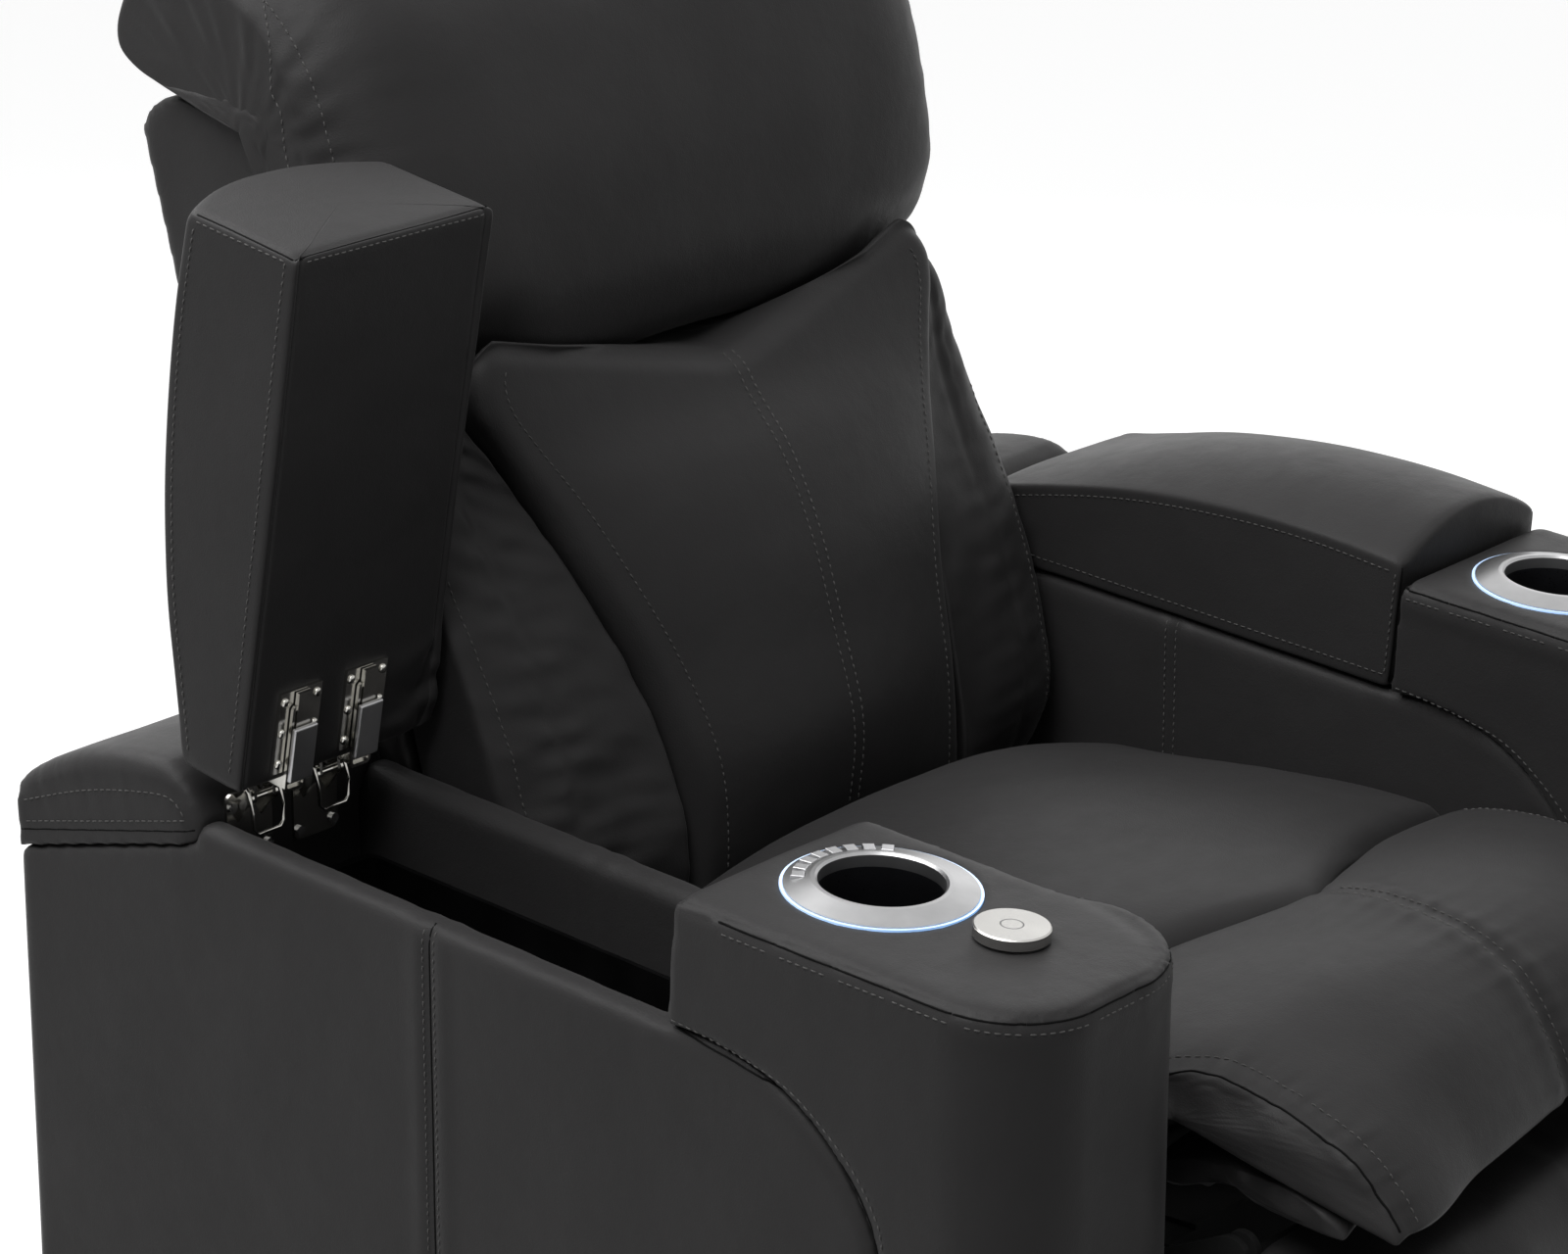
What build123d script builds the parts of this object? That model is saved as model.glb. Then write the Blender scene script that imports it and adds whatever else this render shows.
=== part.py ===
from build123d import *
import os
from math import atan2, cos, degrees, hypot, radians, sin, tan

# A reclining cinema armchair, seen with its right storage lid open.
# Millimetres. +Z is up, the sitter looks along -Y, +X is the sitter's left.
# The origin is on the floor, under the middle of the chair's outer box.

os.makedirs("parts", exist_ok=True)

# ---------------------------------------------------------------- driving dimensions
ARM_OUT = 443.0            # outer side of an arm, from the middle of the chair
ARM_IN = 280.0             # inner side of an arm
CONSOLE_IN = 275.0         # inner side of the cup console, a little proud of the arm
OUTER_SKIN = 24.0          # padded outer panel
INNER_SKIN = 23.0          # padded inner panel
ARM_BOTTOM = 25.0          # arms stand on glides of this height
ARM_FRONT = -362.0
ARM_REAR = 394.0
WALL_SLOPE = 5.0           # arm tops fall towards the front, in degrees
WALL_Y, WALL_Z = -124.0, 546.0       # one point of the wall's top line
WALL_ROUNDING = 0.45       # edge radius of a wall's top, as a share of its thickness
CONSOLE_BACK = -124.0      # back face of the cup console, at its top
CONSOLE_TOP = 623.0        # its height there
CONSOLE_SLOPE = 4.53
BLOCK_FACE = 241.0         # front face of the rear block
CUP_X, CUP_Y = 351.0, -195.0
CAP_Y = -283.0

LID_PIVOT = (226.5, 597.3)           # the point that the linked hinge turns about
LID_SWING = 84.6
LID_START, LID_END = 9.0, 343.7     # along the lid, from the pivot point
LID_FLOOR = -19.9                    # the lid's underside, below the pivot point
LINK_LENGTH = 20.0                   # between a lid hinge's two pins
LID_NOTCH = 8.0            # depth of the notches in the lid's end, for the hinges
HINGE_X = (345.0, 400.0)             # two hinges on each lid

BACK_HALF = 277.0
BACK_LEAN = 14.3
BACK_REAR_Y, BACK_REAR_Z = 409.0, 821.0
BACK_DEPTH = 117.0
SHELL = 18.0
RECLINE_PIVOT = (232.0, 405.0)
RECLINE_ANGLE = 45.0
RECLINE_LEVER = 110.0

HEAD_PIVOT = (262.0, 822.0)
HEAD_ANGLE = 22.0
HEAD_LEVER = 60.0
HEAD_HALF = 288.0
HEAD_EAR = (112.0, 120.0)  # the back frame's two ears for the headrest's pivot

SEAT_HALF = 270.0
SEAT_BOTTOM = 392.0
SEAT_REAR = 96.0
CREASE_LINE = ((0.0, -247.0), (120.0, -206.0), (270.0, -168.0))     # crease in front of the seat
ROLL_BOTTOM = 437.0

FOOT_PIVOT = (-301.0, 168.3)         # main links' pivot on the side plates
FOOT_MAIN = (194.64, 77.59)          # main link: length, stored direction in degrees
FOOT_SWING = 52.43
FOOT_CARRIER = (100.17, 154.45)      # carrier link: to the board pivot, direction
FOOT_TAIL = (57.52, -5.17)           # carrier link: to the guide link's pin, direction
GUIDE_PIVOT = (-242.12, 161.71)
FOOT_LEVER = 70.0
BOARD_FACE = -354.0
PAD_TOP, PAD_BOTTOM = 408.0, 122.0

PLATE_X, PLATE = 244.0, 6.0          # mechanism side plates
MAIN_X, CARRIER_X, BRACKET_X, BAR = 237.0, 230.0, 223.0, 5.0

FIT = 0.06                 # radial running clearance of a pin in its hole


def wall_z(y):
    """Height of an arm wall's top at depth y."""
    return WALL_Z + (y - WALL_Y) * tan(radians(WALL_SLOPE))


def console_z(y):
    return CONSOLE_TOP + (y - CONSOLE_BACK) * tan(radians(CONSOLE_SLOPE))


def back_rear_y(z):
    """Outer rear face of the back at height z."""
    return BACK_REAR_Y + (z - BACK_REAR_Z) * tan(radians(BACK_LEAN))


def back_plane_y(z):
    """Face that the back's cushions lean on."""
    return back_rear_y(z) - BACK_DEPTH


def polar(length, angle, start=(0.0, 0.0)):
    """Point at a distance and direction from start, in the side view (y, z)."""
    return (start[0] + length * cos(radians(angle)), start[1] + length * sin(radians(angle)))


def side_plane(side, near, far):
    """Plane for a side-view profile, and its thickness, between two distances from the middle."""
    low = min(side * near, side * far)
    return Plane.YZ.offset(low), abs(far - near)


def save(part, name):
    part.label = name
    export_step(part, f"parts/{name}.step")


def profile(points):
    """Closed straight-sided face inside the current sketch."""
    Polygon(*points, align=None)


# ---------------------------------------------------------------- arms
# The console wraps the arm's front. Behind it a curved seam runs from the console's
# back face down to the front post.
SEAM_START = (-117.5, 545.0)
SEAM_MID = (-206.0, 524.0)
SEAM_END = (-263.0, 452.0)


def make_outer_panel(side):
    plane, thick = side_plane(side, ARM_OUT - OUTER_SKIN, ARM_OUT)
    with BuildPart() as panel:
        with BuildSketch(plane):
            with BuildLine():
                Polyline(SEAM_END, (SEAM_END[0], ARM_BOTTOM), (ARM_REAR, ARM_BOTTOM), (ARM_REAR, 528),
                         (BLOCK_FACE, 565), (BLOCK_FACE, wall_z(BLOCK_FACE)), SEAM_START)
                ThreePointArc(SEAM_START, SEAM_MID, SEAM_END)
            make_face()
        extrude(amount=thick)
        rim = panel.edges().filter_by(lambda e: is_wall_top(e))
        fillet(rim, OUTER_SKIN * WALL_ROUNDING)
    return panel.part


def make_inner_panel(side):
    plane, thick = side_plane(side, ARM_IN, ARM_IN + INNER_SKIN)
    with BuildPart() as panel:
        with BuildSketch(plane):
            with BuildLine():
                Polyline(SEAM_END, (SEAM_END[0], ARM_BOTTOM), (ARM_REAR, ARM_BOTTOM), (ARM_REAR, 528),
                         (BLOCK_FACE, 565), (BLOCK_FACE, wall_z(BLOCK_FACE)), SEAM_START)
                ThreePointArc(SEAM_START, SEAM_MID, SEAM_END)
            make_face()
        extrude(amount=thick)
        rim = panel.edges().filter_by(lambda e: is_wall_top(e))
        fillet(rim, INNER_SKIN * WALL_ROUNDING)
    return panel.part


def is_wall_top(edge):
    """True for the two long edges of a wall's sloped top."""
    middle = edge @ 0.5
    return edge.length > 200 and abs(middle.Z - wall_z(middle.Y)) < 1


def make_rear_block(side):
    cap_plane, cap_width = side_plane(side, ARM_IN, ARM_OUT)
    post_plane, post_width = side_plane(side, ARM_IN + INNER_SKIN, ARM_OUT - OUTER_SKIN)
    with BuildPart() as block:
        with BuildSketch(cap_plane):
            with BuildLine():
                Polyline((ARM_REAR, 572), (ARM_REAR, 528), (BLOCK_FACE, 565), (BLOCK_FACE, 580))
                ThreePointArc((BLOCK_FACE, 580), (250, 597), (270, 609))
                ThreePointArc((270, 609), (330, 603), (ARM_REAR, 572))
            make_face()
        extrude(amount=cap_width)
        crown = block.edges().filter_by(lambda e: (e @ 0.5).Z > 585 and abs((e @ 0.5).X) > 1
                                        and abs((e @ 0).X - (e @ 1).X) < 1)
        fillet(crown, 12)
        with BuildSketch(post_plane):
            profile([(BLOCK_FACE, 440), (BLOCK_FACE, 566), (ARM_REAR, 530), (ARM_REAR, ARM_BOTTOM),
                     (325, ARM_BOTTOM), (300, 420)])
        extrude(amount=post_width)
    return block.part


def console_plane(side, y, height=0.0):
    """Plane on the console's sloped top, above the point at depth y."""
    normal = Vector(0, -sin(radians(CONSOLE_SLOPE)), cos(radians(CONSOLE_SLOPE)))
    origin = Vector(side * CUP_X, y, console_z(y)) + normal * height
    return Plane(origin=origin, x_dir=(1, 0, 0), z_dir=normal)


def console_section(side, y):
    """Plane through a console feature's axis, with the axis as its local Y."""
    flat = console_plane(side, y)
    return Plane(origin=flat.origin, x_dir=(1, 0, 0), z_dir=Vector(1, 0, 0).cross(flat.z_dir))


CUP_BORE, CUP_DEPTH = 38.6, 78.0
LIGHT_RECESS, LIGHT_DEPTH = 56.4, 2.2
SOCKET_BORE, SOCKET_DEPTH = 13.2, 20.0


def make_console(side):
    plane, width = side_plane(side, 200, 500)
    with BuildPart() as console:
        with BuildSketch(Plane.XY.offset(ARM_BOTTOM)):
            with BuildLine():
                Line((side * CONSOLE_IN, -262), (side * CONSOLE_IN, -90))
                Line((side * CONSOLE_IN, -90), (side * ARM_OUT, -90))
                Line((side * ARM_OUT, -90), (side * ARM_OUT, -306))
                ThreePointArc((side * ARM_OUT, -306), (side * 426, -345), (side * 390, ARM_FRONT))
                Line((side * 390, ARM_FRONT), (side * 345, ARM_FRONT))
                ThreePointArc((side * 345, ARM_FRONT), (side * 287, -341), (side * CONSOLE_IN, -262))
            make_face()
        extrude(amount=650)
        with BuildSketch(plane):
            with BuildLine():
                Polyline(SEAM_END, (SEAM_END[0], ARM_BOTTOM), (-400, ARM_BOTTOM), (-400, console_z(-400)),
                         (CONSOLE_BACK, CONSOLE_TOP), SEAM_START)
                ThreePointArc(SEAM_START, SEAM_MID, SEAM_END)
            make_face()
        extrude(amount=width, mode=Mode.INTERSECT)
        top = console.faces().filter_by(lambda f: f.normal_at().Z > 0.95).sort_by(Axis.Z)[-1]
        fillet(top.edges(), 7)
        with BuildSketch(console_plane(side, CUP_Y, 1)):
            Circle(CUP_BORE)
        extrude(amount=-CUP_DEPTH - 1, mode=Mode.SUBTRACT)
        with BuildSketch(console_plane(side, CUP_Y, 1)):
            Circle(LIGHT_RECESS)
        extrude(amount=-LIGHT_DEPTH - 1, mode=Mode.SUBTRACT)
        if side < 0:
            with BuildSketch(console_plane(side, CAP_Y, 1)):
                Circle(SOCKET_BORE)
            extrude(amount=-SOCKET_DEPTH - 1, mode=Mode.SUBTRACT)
    return console.part


def make_tray(side):
    """Moulded liner of the storage well, with a rolled rim."""
    plane, width = side_plane(side, ARM_IN + INNER_SKIN + 1, ARM_OUT - OUTER_SKIN - 1)
    front, rear, floor, drop, wall = -112.0, 235.5, 430.0, 55.0, 3.0
    low_in, high_in = front + 6, rear - 6
    with BuildPart() as tray:
        with BuildSketch(plane):
            profile([(front, floor), (rear, floor), (rear, wall_z(rear) - drop),
                     (front, wall_z(front) - drop)])
        extrude(amount=width)
        fillet(tray.edges().filter_by(Axis.Z), 10)
        with BuildSketch(Plane.XY.offset(floor + wall)):
            with Locations((side * (ARM_OUT + ARM_IN) / 2, (low_in + high_in) / 2)):
                RectangleRounded(width - 2 * wall, high_in - low_in, 8)
        extrude(amount=200, mode=Mode.SUBTRACT)
    return tray.part


# ---------------------------------------------------------------- cup holder
RING_OUT, RING_IN = 54.0, 35.4
BUTTON_RADIUS, BUTTON_W, BUTTON_L, BUTTON_TRAVEL = 46.0, 7.0, 7.6, 0.6
BUTTON_FIRST, BUTTON_STEP, BUTTON_COUNT = 34.5, 13.0, 8


def button_places(side, height):
    """Plane of the ring's buttons and the button positions on it."""
    plane = console_plane(side, CUP_Y, height)
    places = [Location((BUTTON_RADIUS * cos(radians(a)), BUTTON_RADIUS * sin(radians(a))), a)
              for a in (BUTTON_FIRST + BUTTON_STEP * i for i in range(BUTTON_COUNT))]
    return plane, places


def make_cup_ring(side):
    section = console_section(side, CUP_Y)
    with BuildPart() as ring:
        with BuildSketch(section):
            profile([(RING_IN, -3), (38.0, -3), (38.0, 0), (RING_OUT, 0), (RING_OUT, 1.2),
                     (39.2, 5.2), (36.8, 5.4), (RING_IN, 4.0)])
        revolve(axis=Axis(section.origin, section.y_dir))
        if side < 0:
            plane, places = button_places(side, -1)
            with BuildSketch(plane):
                with Locations(*places):
                    Rectangle(BUTTON_L + 0.4, BUTTON_W + 0.4)
            extrude(amount=10, mode=Mode.SUBTRACT)
    return ring.part


def make_light_ring(side):
    section = console_section(side, CUP_Y)
    with BuildPart() as light:
        with BuildSketch(section):
            profile([(38.2, -2.1), (55.9, -2.1), (55.9, 0.4), (54.2, 0.4), (54.2, -0.05), (38.2, -0.05)])
        revolve(axis=Axis(section.origin, section.y_dir))
    return light.part


def make_cup_liner(side):
    section = console_section(side, CUP_Y)
    with BuildPart() as liner:
        with BuildSketch(section):
            profile([(0, -76), (37.9, -76), (37.9, -3), (RING_IN, -3), (RING_IN, -73.5), (0, -73.5)])
        revolve(axis=Axis(section.origin, section.y_dir))
    return liner.part


def make_button(side, index):
    plane, places = button_places(side, 0.8)
    with BuildPart() as button:
        with BuildSketch(plane):
            with Locations(places[index]):
                Rectangle(BUTTON_L, BUTTON_W)
        extrude(amount=3.9)
        fillet(button.faces().sort_by(Axis.Z)[-1].edges(), 0.5)
    return button.part


def make_socket(side):
    section = console_section(side, CAP_Y)
    with BuildPart() as socket:
        with BuildSketch(section):
            profile([(10, -18), (13, -18), (13, 0), (18, 0), (18, 1.5), (10, 1.5)])
        revolve(axis=Axis(section.origin, section.y_dir))
    return socket.part


def make_cap(side):
    section = console_section(side, CAP_Y)
    with BuildPart() as cap:
        with BuildSketch(section):
            profile([(0, -12), (9.4, -12), (9.4, 1.55), (21.4, 1.55), (21.4, 7.2), (20.6, 8), (0, 8)])
        revolve(axis=Axis(section.origin, section.y_dir))
    return cap.part


# ---------------------------------------------------------------- lids
# A lid is drawn along its own axes: u runs from the pivot point to the tip, v from the
# underside to the crown. opening is the angle from the closed lid.
LID_STATIONS = [          # u, height of the side, rise of the crown above it
    (LID_START, 46.0, 2.0),
    (55.0, 58.0, 8.0),
    (120.0, 74.0, 15.0),
    (200.0, 85.0, 19.0),
    (280.0, 88.0, 22.0),
    (LID_END, 85.0, 24.0),
]


def lid_plane(side, opening, along):
    angle = 180 + WALL_SLOPE - opening
    y, z = polar(along, angle, LID_PIVOT)
    return Plane(origin=(side * (ARM_OUT + ARM_IN) / 2, y, z), x_dir=(1, 0, 0),
                 z_dir=(0, cos(radians(angle)), sin(radians(angle))))


def make_lid(side, opening):
    half = (ARM_OUT - ARM_IN) / 2
    with BuildPart() as lid:
        for along, height, crown in LID_STATIONS:
            with BuildSketch(lid_plane(side, opening, along)):
                with BuildLine():
                    Line((-half, LID_FLOOR), (half, LID_FLOOR))
                    Line((half, LID_FLOOR), (half, LID_FLOOR + height))
                    ThreePointArc((half, LID_FLOOR + height), (0, LID_FLOOR + height + crown),
                                  (-half, LID_FLOOR + height))
                    Line((-half, LID_FLOOR + height), (-half, LID_FLOOR))
                make_face()
        loft(ruled=True)
        for x in HINGE_X:
            with BuildSketch(lid_plane(side, opening, LID_START)):
                with Locations((side * x - side * (ARM_OUT + ARM_IN) / 2, 0)):
                    Rectangle(26, 2 * abs(LID_FLOOR))
            extrude(amount=LID_NOTCH, mode=Mode.SUBTRACT)
    return lid.part


# ---------------------------------------------------------------- lid hinges
# Each hinge has a leaf on the rear block, a pair of short link arms and a leaf under
# the lid. The two pins make the lid turn about LID_PIVOT, clear of the block.
PIN_SPREAD = LINK_LENGTH / 2 / cos(radians(LID_SWING / 4))
CLOSED_PIN_DIR = 150.0
FIXED_PIN_DIR = CLOSED_PIN_DIR + 180 - LID_SWING / 2
HINGE_PIN = 2.0
EAR, LINK = (8.9, 10.7), (6.4, 8.6)


def fixed_pin():
    return polar(PIN_SPREAD, FIXED_PIN_DIR, LID_PIVOT)


def lid_pin(opening):
    return polar(PIN_SPREAD, CLOSED_PIN_DIR - opening, LID_PIVOT)


def make_fixed_leaves(side):
    pin_y, pin_z = fixed_pin()
    with BuildPart() as leaves:
        for x in HINGE_X:
            with BuildSketch(Plane.XZ.offset(-BLOCK_FACE)):
                with Locations((side * x, 567)):
                    RectangleRounded(37, 44, 5)
            extrude(amount=2.2)
            for sign in (-1, 1):
                with BuildSketch(Plane.YZ.offset(min(side * x + sign * EAR[0], side * x + sign * EAR[1]))):
                    with Locations((pin_y, pin_z)):
                        Circle(4.6)
                    profile([(pin_y, pin_z - 4.6), (BLOCK_FACE - 1, pin_z - 18), (BLOCK_FACE - 1, pin_z - 2),
                             (pin_y, pin_z + 4.6)])
                extrude(amount=EAR[1] - EAR[0])
            with BuildSketch(Plane.YZ.offset(side * x - EAR[1])):
                with Locations((pin_y, pin_z)):
                    Circle(HINGE_PIN)
            extrude(amount=2 * EAR[1])
    return leaves.part


def make_leaf_screws():
    """Pan-head screws that hold the fixed leaves, four to a leaf."""
    with BuildPart() as screws:
        with BuildSketch(Plane.XZ.offset(-(BLOCK_FACE - 2.2))):
            for x in (-HINGE_X[1], -HINGE_X[0], HINGE_X[0], HINGE_X[1]):
                with Locations(*[(x + dx, z) for dx in (-14.4, 14.4) for z in (551, 581)]):
                    Circle(3.2)
        extrude(amount=1.8)
    return screws.part


def make_links(side, opening):
    start, end = fixed_pin(), lid_pin(opening)
    turn = degrees(atan2(end[1] - start[1], end[0] - start[0]))
    middle = ((start[0] + end[0]) / 2, (start[1] + end[1]) / 2)
    with BuildPart() as links:
        for x in HINGE_X:
            for sign in (-1, 1):
                low = min(side * x + sign * LINK[0], side * x + sign * LINK[1])
                with BuildSketch(Plane.YZ.offset(low)):
                    with Locations(Location(middle, turn)):
                        SlotCenterToCenter(LINK_LENGTH, 8.4)
                    with Locations(start):
                        Circle(HINGE_PIN + FIT, mode=Mode.SUBTRACT)
                extrude(amount=LINK[1] - LINK[0])
            with BuildSketch(Plane.YZ.offset(side * x - LINK[1])):
                with Locations(end):
                    Circle(HINGE_PIN)
            extrude(amount=2 * LINK[1])
    return links.part


def make_lid_leaves(side, opening):
    """Leaves on the lid's underside: strap to the pin, cover plate and wire bail."""
    pin_y, pin_z = lid_pin(opening)
    strap = 5.8
    lid_axes = lid_plane(1, opening, 0)
    across = Plane(origin=(0, lid_axes.origin.Y, lid_axes.origin.Z), x_dir=lid_axes.z_dir, z_dir=(1, 0, 0))
    pin = across.to_local_coords(Vector(0, pin_y, pin_z))
    drop = -1 if across.to_local_coords(across.origin + lid_axes.y_dir).Y > 0 else 1
    floor = drop * abs(LID_FLOOR)
    with BuildPart() as leaves:
        for x in HINGE_X:
            centre = side * x
            with BuildSketch(across.offset(centre - 17)):
                profile([(LID_START + 8, floor), (LID_START + 60, floor),
                         (LID_START + 60, floor + drop * 2.2), (LID_START + 8, floor + drop * 2.2)])
            extrude(amount=34)
            with BuildSketch(across.offset(centre - strap)):
                with Locations((pin.X, pin.Y)):
                    Circle(4.2)
                profile([(pin.X - 4.2, pin.Y), (pin.X - 4.2, floor + drop * 3),
                         (LID_START + 30, floor + drop * 3), (LID_START + 30, floor),
                         (pin.X + 4.2, floor), (pin.X + 4.2, pin.Y)])
                with Locations((pin.X, pin.Y)):
                    Circle(HINGE_PIN + FIT, mode=Mode.SUBTRACT)
            extrude(amount=2 * strap)
            face = Plane(origin=Vector(centre, lid_axes.origin.Y, lid_axes.origin.Z)
                         + lid_axes.y_dir * (LID_FLOOR - 3),
                         x_dir=(1, 0, 0), z_dir=-lid_axes.y_dir)
            forward = 1 if face.to_local_coords(face.origin + lid_axes.z_dir).Y > 0 else -1
            with BuildSketch(face):
                with Locations((0, forward * 46)):
                    Rectangle(11, 44)
            extrude(amount=2.8)
            with BuildSketch(face):
                with Locations((0, forward * 32)):
                    RectangleRounded(17, 56, 3)
                    RectangleRounded(13, 52, 2, mode=Mode.SUBTRACT)
            extrude(amount=2)
    return leaves.part


# ---------------------------------------------------------------- base and seat
def make_glides():
    with BuildPart() as glides:
        with BuildSketch(Plane.XY):
            with Locations((-361, -300), (361, -300), (-361, 362), (361, 362)):
                Circle(22)
        extrude(amount=ARM_BOTTOM)
        chamfer(glides.faces().sort_by(Axis.Z)[:4].edges(), 2)
    return glides.part


def make_base_frame():
    """Welded base: two rails between the arms, two mechanism plates and two cross tubes."""
    outline = [(-325, 65), (-325, 190), (-285, 336), (120, 336), (212, 422), (252, 422), (258, 392),
               (305, 65), (265, 65), (200, 210), (-170, 210), (-217, 65)]
    with BuildPart() as plates:
        for y in (-235.0, 285.0):
            with BuildSketch(Plane.YZ.offset(-ARM_IN)):
                with Locations((y, 47.5)):
                    Rectangle(40, 36)
                    Rectangle(34, 30, mode=Mode.SUBTRACT)
            extrude(amount=2 * ARM_IN)
        for side in (-1, 1):
            plane, thick = side_plane(side, PLATE_X, PLATE_X + PLATE)
            with BuildSketch(plane):
                profile(outline)
                with Locations(FOOT_PIVOT):
                    Circle(8 + FIT, mode=Mode.SUBTRACT)
            extrude(amount=thick)
            stud, stud_length = side_plane(side, 211, PLATE_X + PLATE + 6)
            with BuildSketch(stud):
                with Locations(RECLINE_PIVOT):
                    Circle(8)
            extrude(amount=stud_length)
            pin_plane, pin_length = side_plane(side, MAIN_X, PLATE_X)
            with BuildSketch(pin_plane):
                with Locations(GUIDE_PIVOT):
                    Circle(6)
            extrude(amount=pin_length)
        with BuildSketch(Plane.YZ.offset(-PLATE_X)):
            with Locations((-120, 292), (60, 232)):
                Circle(12)
        extrude(amount=2 * PLATE_X)
    return plates.part


def make_seat_frame():
    """Seat frame of four rails, with straps across it."""
    front, rear, half, rail = -296.0, 122.0, 215.0, 28.0
    with BuildPart() as frame:
        with BuildSketch(Plane.XY.offset(340)):
            with Locations((0, (front + rear) / 2)):
                Rectangle(2 * half, rear - front)
                Rectangle(2 * (half - rail), rear - front - 2 * rail, mode=Mode.SUBTRACT)
        extrude(amount=46)
        for side in (-1, 1):
            for y in (-150.0, 60.0):
                with BuildSketch(Plane.XY.offset(341)):
                    with Locations((side * (half + PLATE_X) / 2, y)):
                        Rectangle(PLATE_X - half, 30)
                extrude(amount=4)
                with BuildSketch(Plane.XY.offset(328)):
                    with Locations((side * (PLATE_X - 2), y)):
                        Rectangle(4, 30)
                extrude(amount=16)
        with BuildSketch(Plane.XY.offset(386)):
            with GridLocations(66, 0, 6, 1):
                with Locations((0, (front + rear) / 2)):
                    Rectangle(48, rear - front)
        extrude(amount=3)
    return frame.part


SEAT_STATIONS = [         # y, height of the side, height of the middle
    (SEAT_REAR, 458.0, 508.0),
    (40.0, 466.0, 516.0),
    (-60.0, 474.0, 521.0),
    (-160.0, 477.0, 522.0),
    (CREASE_LINE[0][1] + 2, 468.0, 524.0),
]


def make_seat_cushion():
    """Crowned cushion with drawn-in sides."""
    waist = SEAT_HALF - 8
    with BuildPart() as cushion:
        for y, edge, middle in SEAT_STATIONS:
            with BuildSketch(Plane.XZ.offset(-y)):
                with BuildLine():
                    Line((-waist, SEAT_BOTTOM), (waist, SEAT_BOTTOM))
                    ThreePointArc((waist, SEAT_BOTTOM), (SEAT_HALF, (SEAT_BOTTOM + edge) / 2), (waist, edge))
                    ThreePointArc((waist, edge), (0, middle), (-waist, edge))
                    ThreePointArc((-waist, edge), (-SEAT_HALF, (SEAT_BOTTOM + edge) / 2),
                                  (-waist, SEAT_BOTTOM))
                make_face()
        loft(ruled=True)
        middle, bend, end = CREASE_LINE
        with BuildSketch(Plane.XY.offset(SEAT_BOTTOM - 10)):
            profile([(middle[0], middle[1] + 2), (bend[0], bend[1] + 2), (end[0] + 10, end[1] + 5),
                     (end[0] + 10, -300), (-end[0] - 10, -300), (-end[0] - 10, end[1] + 5),
                     (-bend[0], bend[1] + 2)])
        extrude(amount=200, mode=Mode.SUBTRACT)
    return cushion.part


# x, depth and height of the crease, forward shift and drop of the roll's side-view outline
ROLL_STATIONS = [
    (-268.0, -169.0, 478.0, 32.0, 23.0),
    (-228.0, -179.0, 486.0, 32.0, 22.0),
    (-120.0, -206.0, 504.0, 20.0, 4.0),
    (0.0, -247.0, 519.0, 0.0, 0.0),
    (120.0, -206.0, 504.0, 20.0, 4.0),
    (228.0, -179.0, 486.0, 32.0, 22.0),
    (268.0, -169.0, 478.0, 32.0, 23.0),
]
ROLL_SKIN = 22.0
ROLL_NECK = 228.0          # half width where the roll passes between the consoles


def make_front_roll():
    """Top layer of the waterfall front, bulging in a lobe each side of its middle seam."""
    with BuildPart() as roll:
        for x, crease, height, shift, drop in ROLL_STATIONS:
            with BuildSketch(Plane.YZ.offset(x)):
                with BuildLine():
                    Line((crease, height - 34), (crease, height))
                    ThreePointArc((crease, height), ((crease - 357) / 2, 532 - drop),
                                  (-355 - shift * 0.6, 522 - drop))
                    ThreePointArc((-355 - shift * 0.6, 522 - drop), (-406 - shift, 489 - drop * 0.7),
                                  (-425 - shift, ROLL_BOTTOM))
                    Line((-425 - shift, ROLL_BOTTOM), (-425 - shift + ROLL_SKIN, ROLL_BOTTOM))
                    ThreePointArc((-425 - shift + ROLL_SKIN, ROLL_BOTTOM),
                                  (-388 - shift * 0.8, 474 - drop * 0.7), (-335, 492 - drop * 0.9))
                    Line((-335, 492 - drop * 0.9), (crease, height - 34))
                make_face()
        loft(ruled=True)
        for side in (-1, 1):
            with BuildSketch(Plane.XY.offset(ROLL_BOTTOM - 5)):
                profile([(side * ROLL_NECK, -500), (side * ROLL_NECK, -325), (side * 269, -285),
                         (side * 300, -285), (side * 300, -500)])
            extrude(amount=150, mode=Mode.SUBTRACT)
    return roll.part


def make_underpad():
    """Second padded layer under the roll, carried by the seat frame's front."""
    shifts = [(-222.0, 26.0, 27.0), (0.0, -4.0, 1.0), (222.0, 26.0, 27.0)]
    with BuildPart() as pad:
        for x, shift, drop in shifts:
            with BuildSketch(Plane.YZ.offset(x)):
                with BuildLine():
                    Line((-290, 430), (-296, 466 - drop * 0.5))
                    Line((-296, 466 - drop * 0.5), (-335, 489 - drop * 0.9))
                    ThreePointArc((-335, 489 - drop * 0.9), (-386 - shift * 0.8, 470 - drop * 0.7),
                                  (-402 - shift, ROLL_BOTTOM))
                    Line((-402 - shift, ROLL_BOTTOM), (-368, ROLL_BOTTOM))
                    ThreePointArc((-368, ROLL_BOTTOM), (-345, 452 - drop * 0.4), (-290, 430))
                make_face()
        loft(ruled=True)
    return pad.part


def make_valance():
    with BuildPart() as valance:
        with BuildSketch(Plane.YZ.offset(-ARM_IN + 1)):
            profile([(334, 60), (348, 60), (348, 345), (334, 345)])
        extrude(amount=2 * ARM_IN - 2)
    return valance.part


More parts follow.
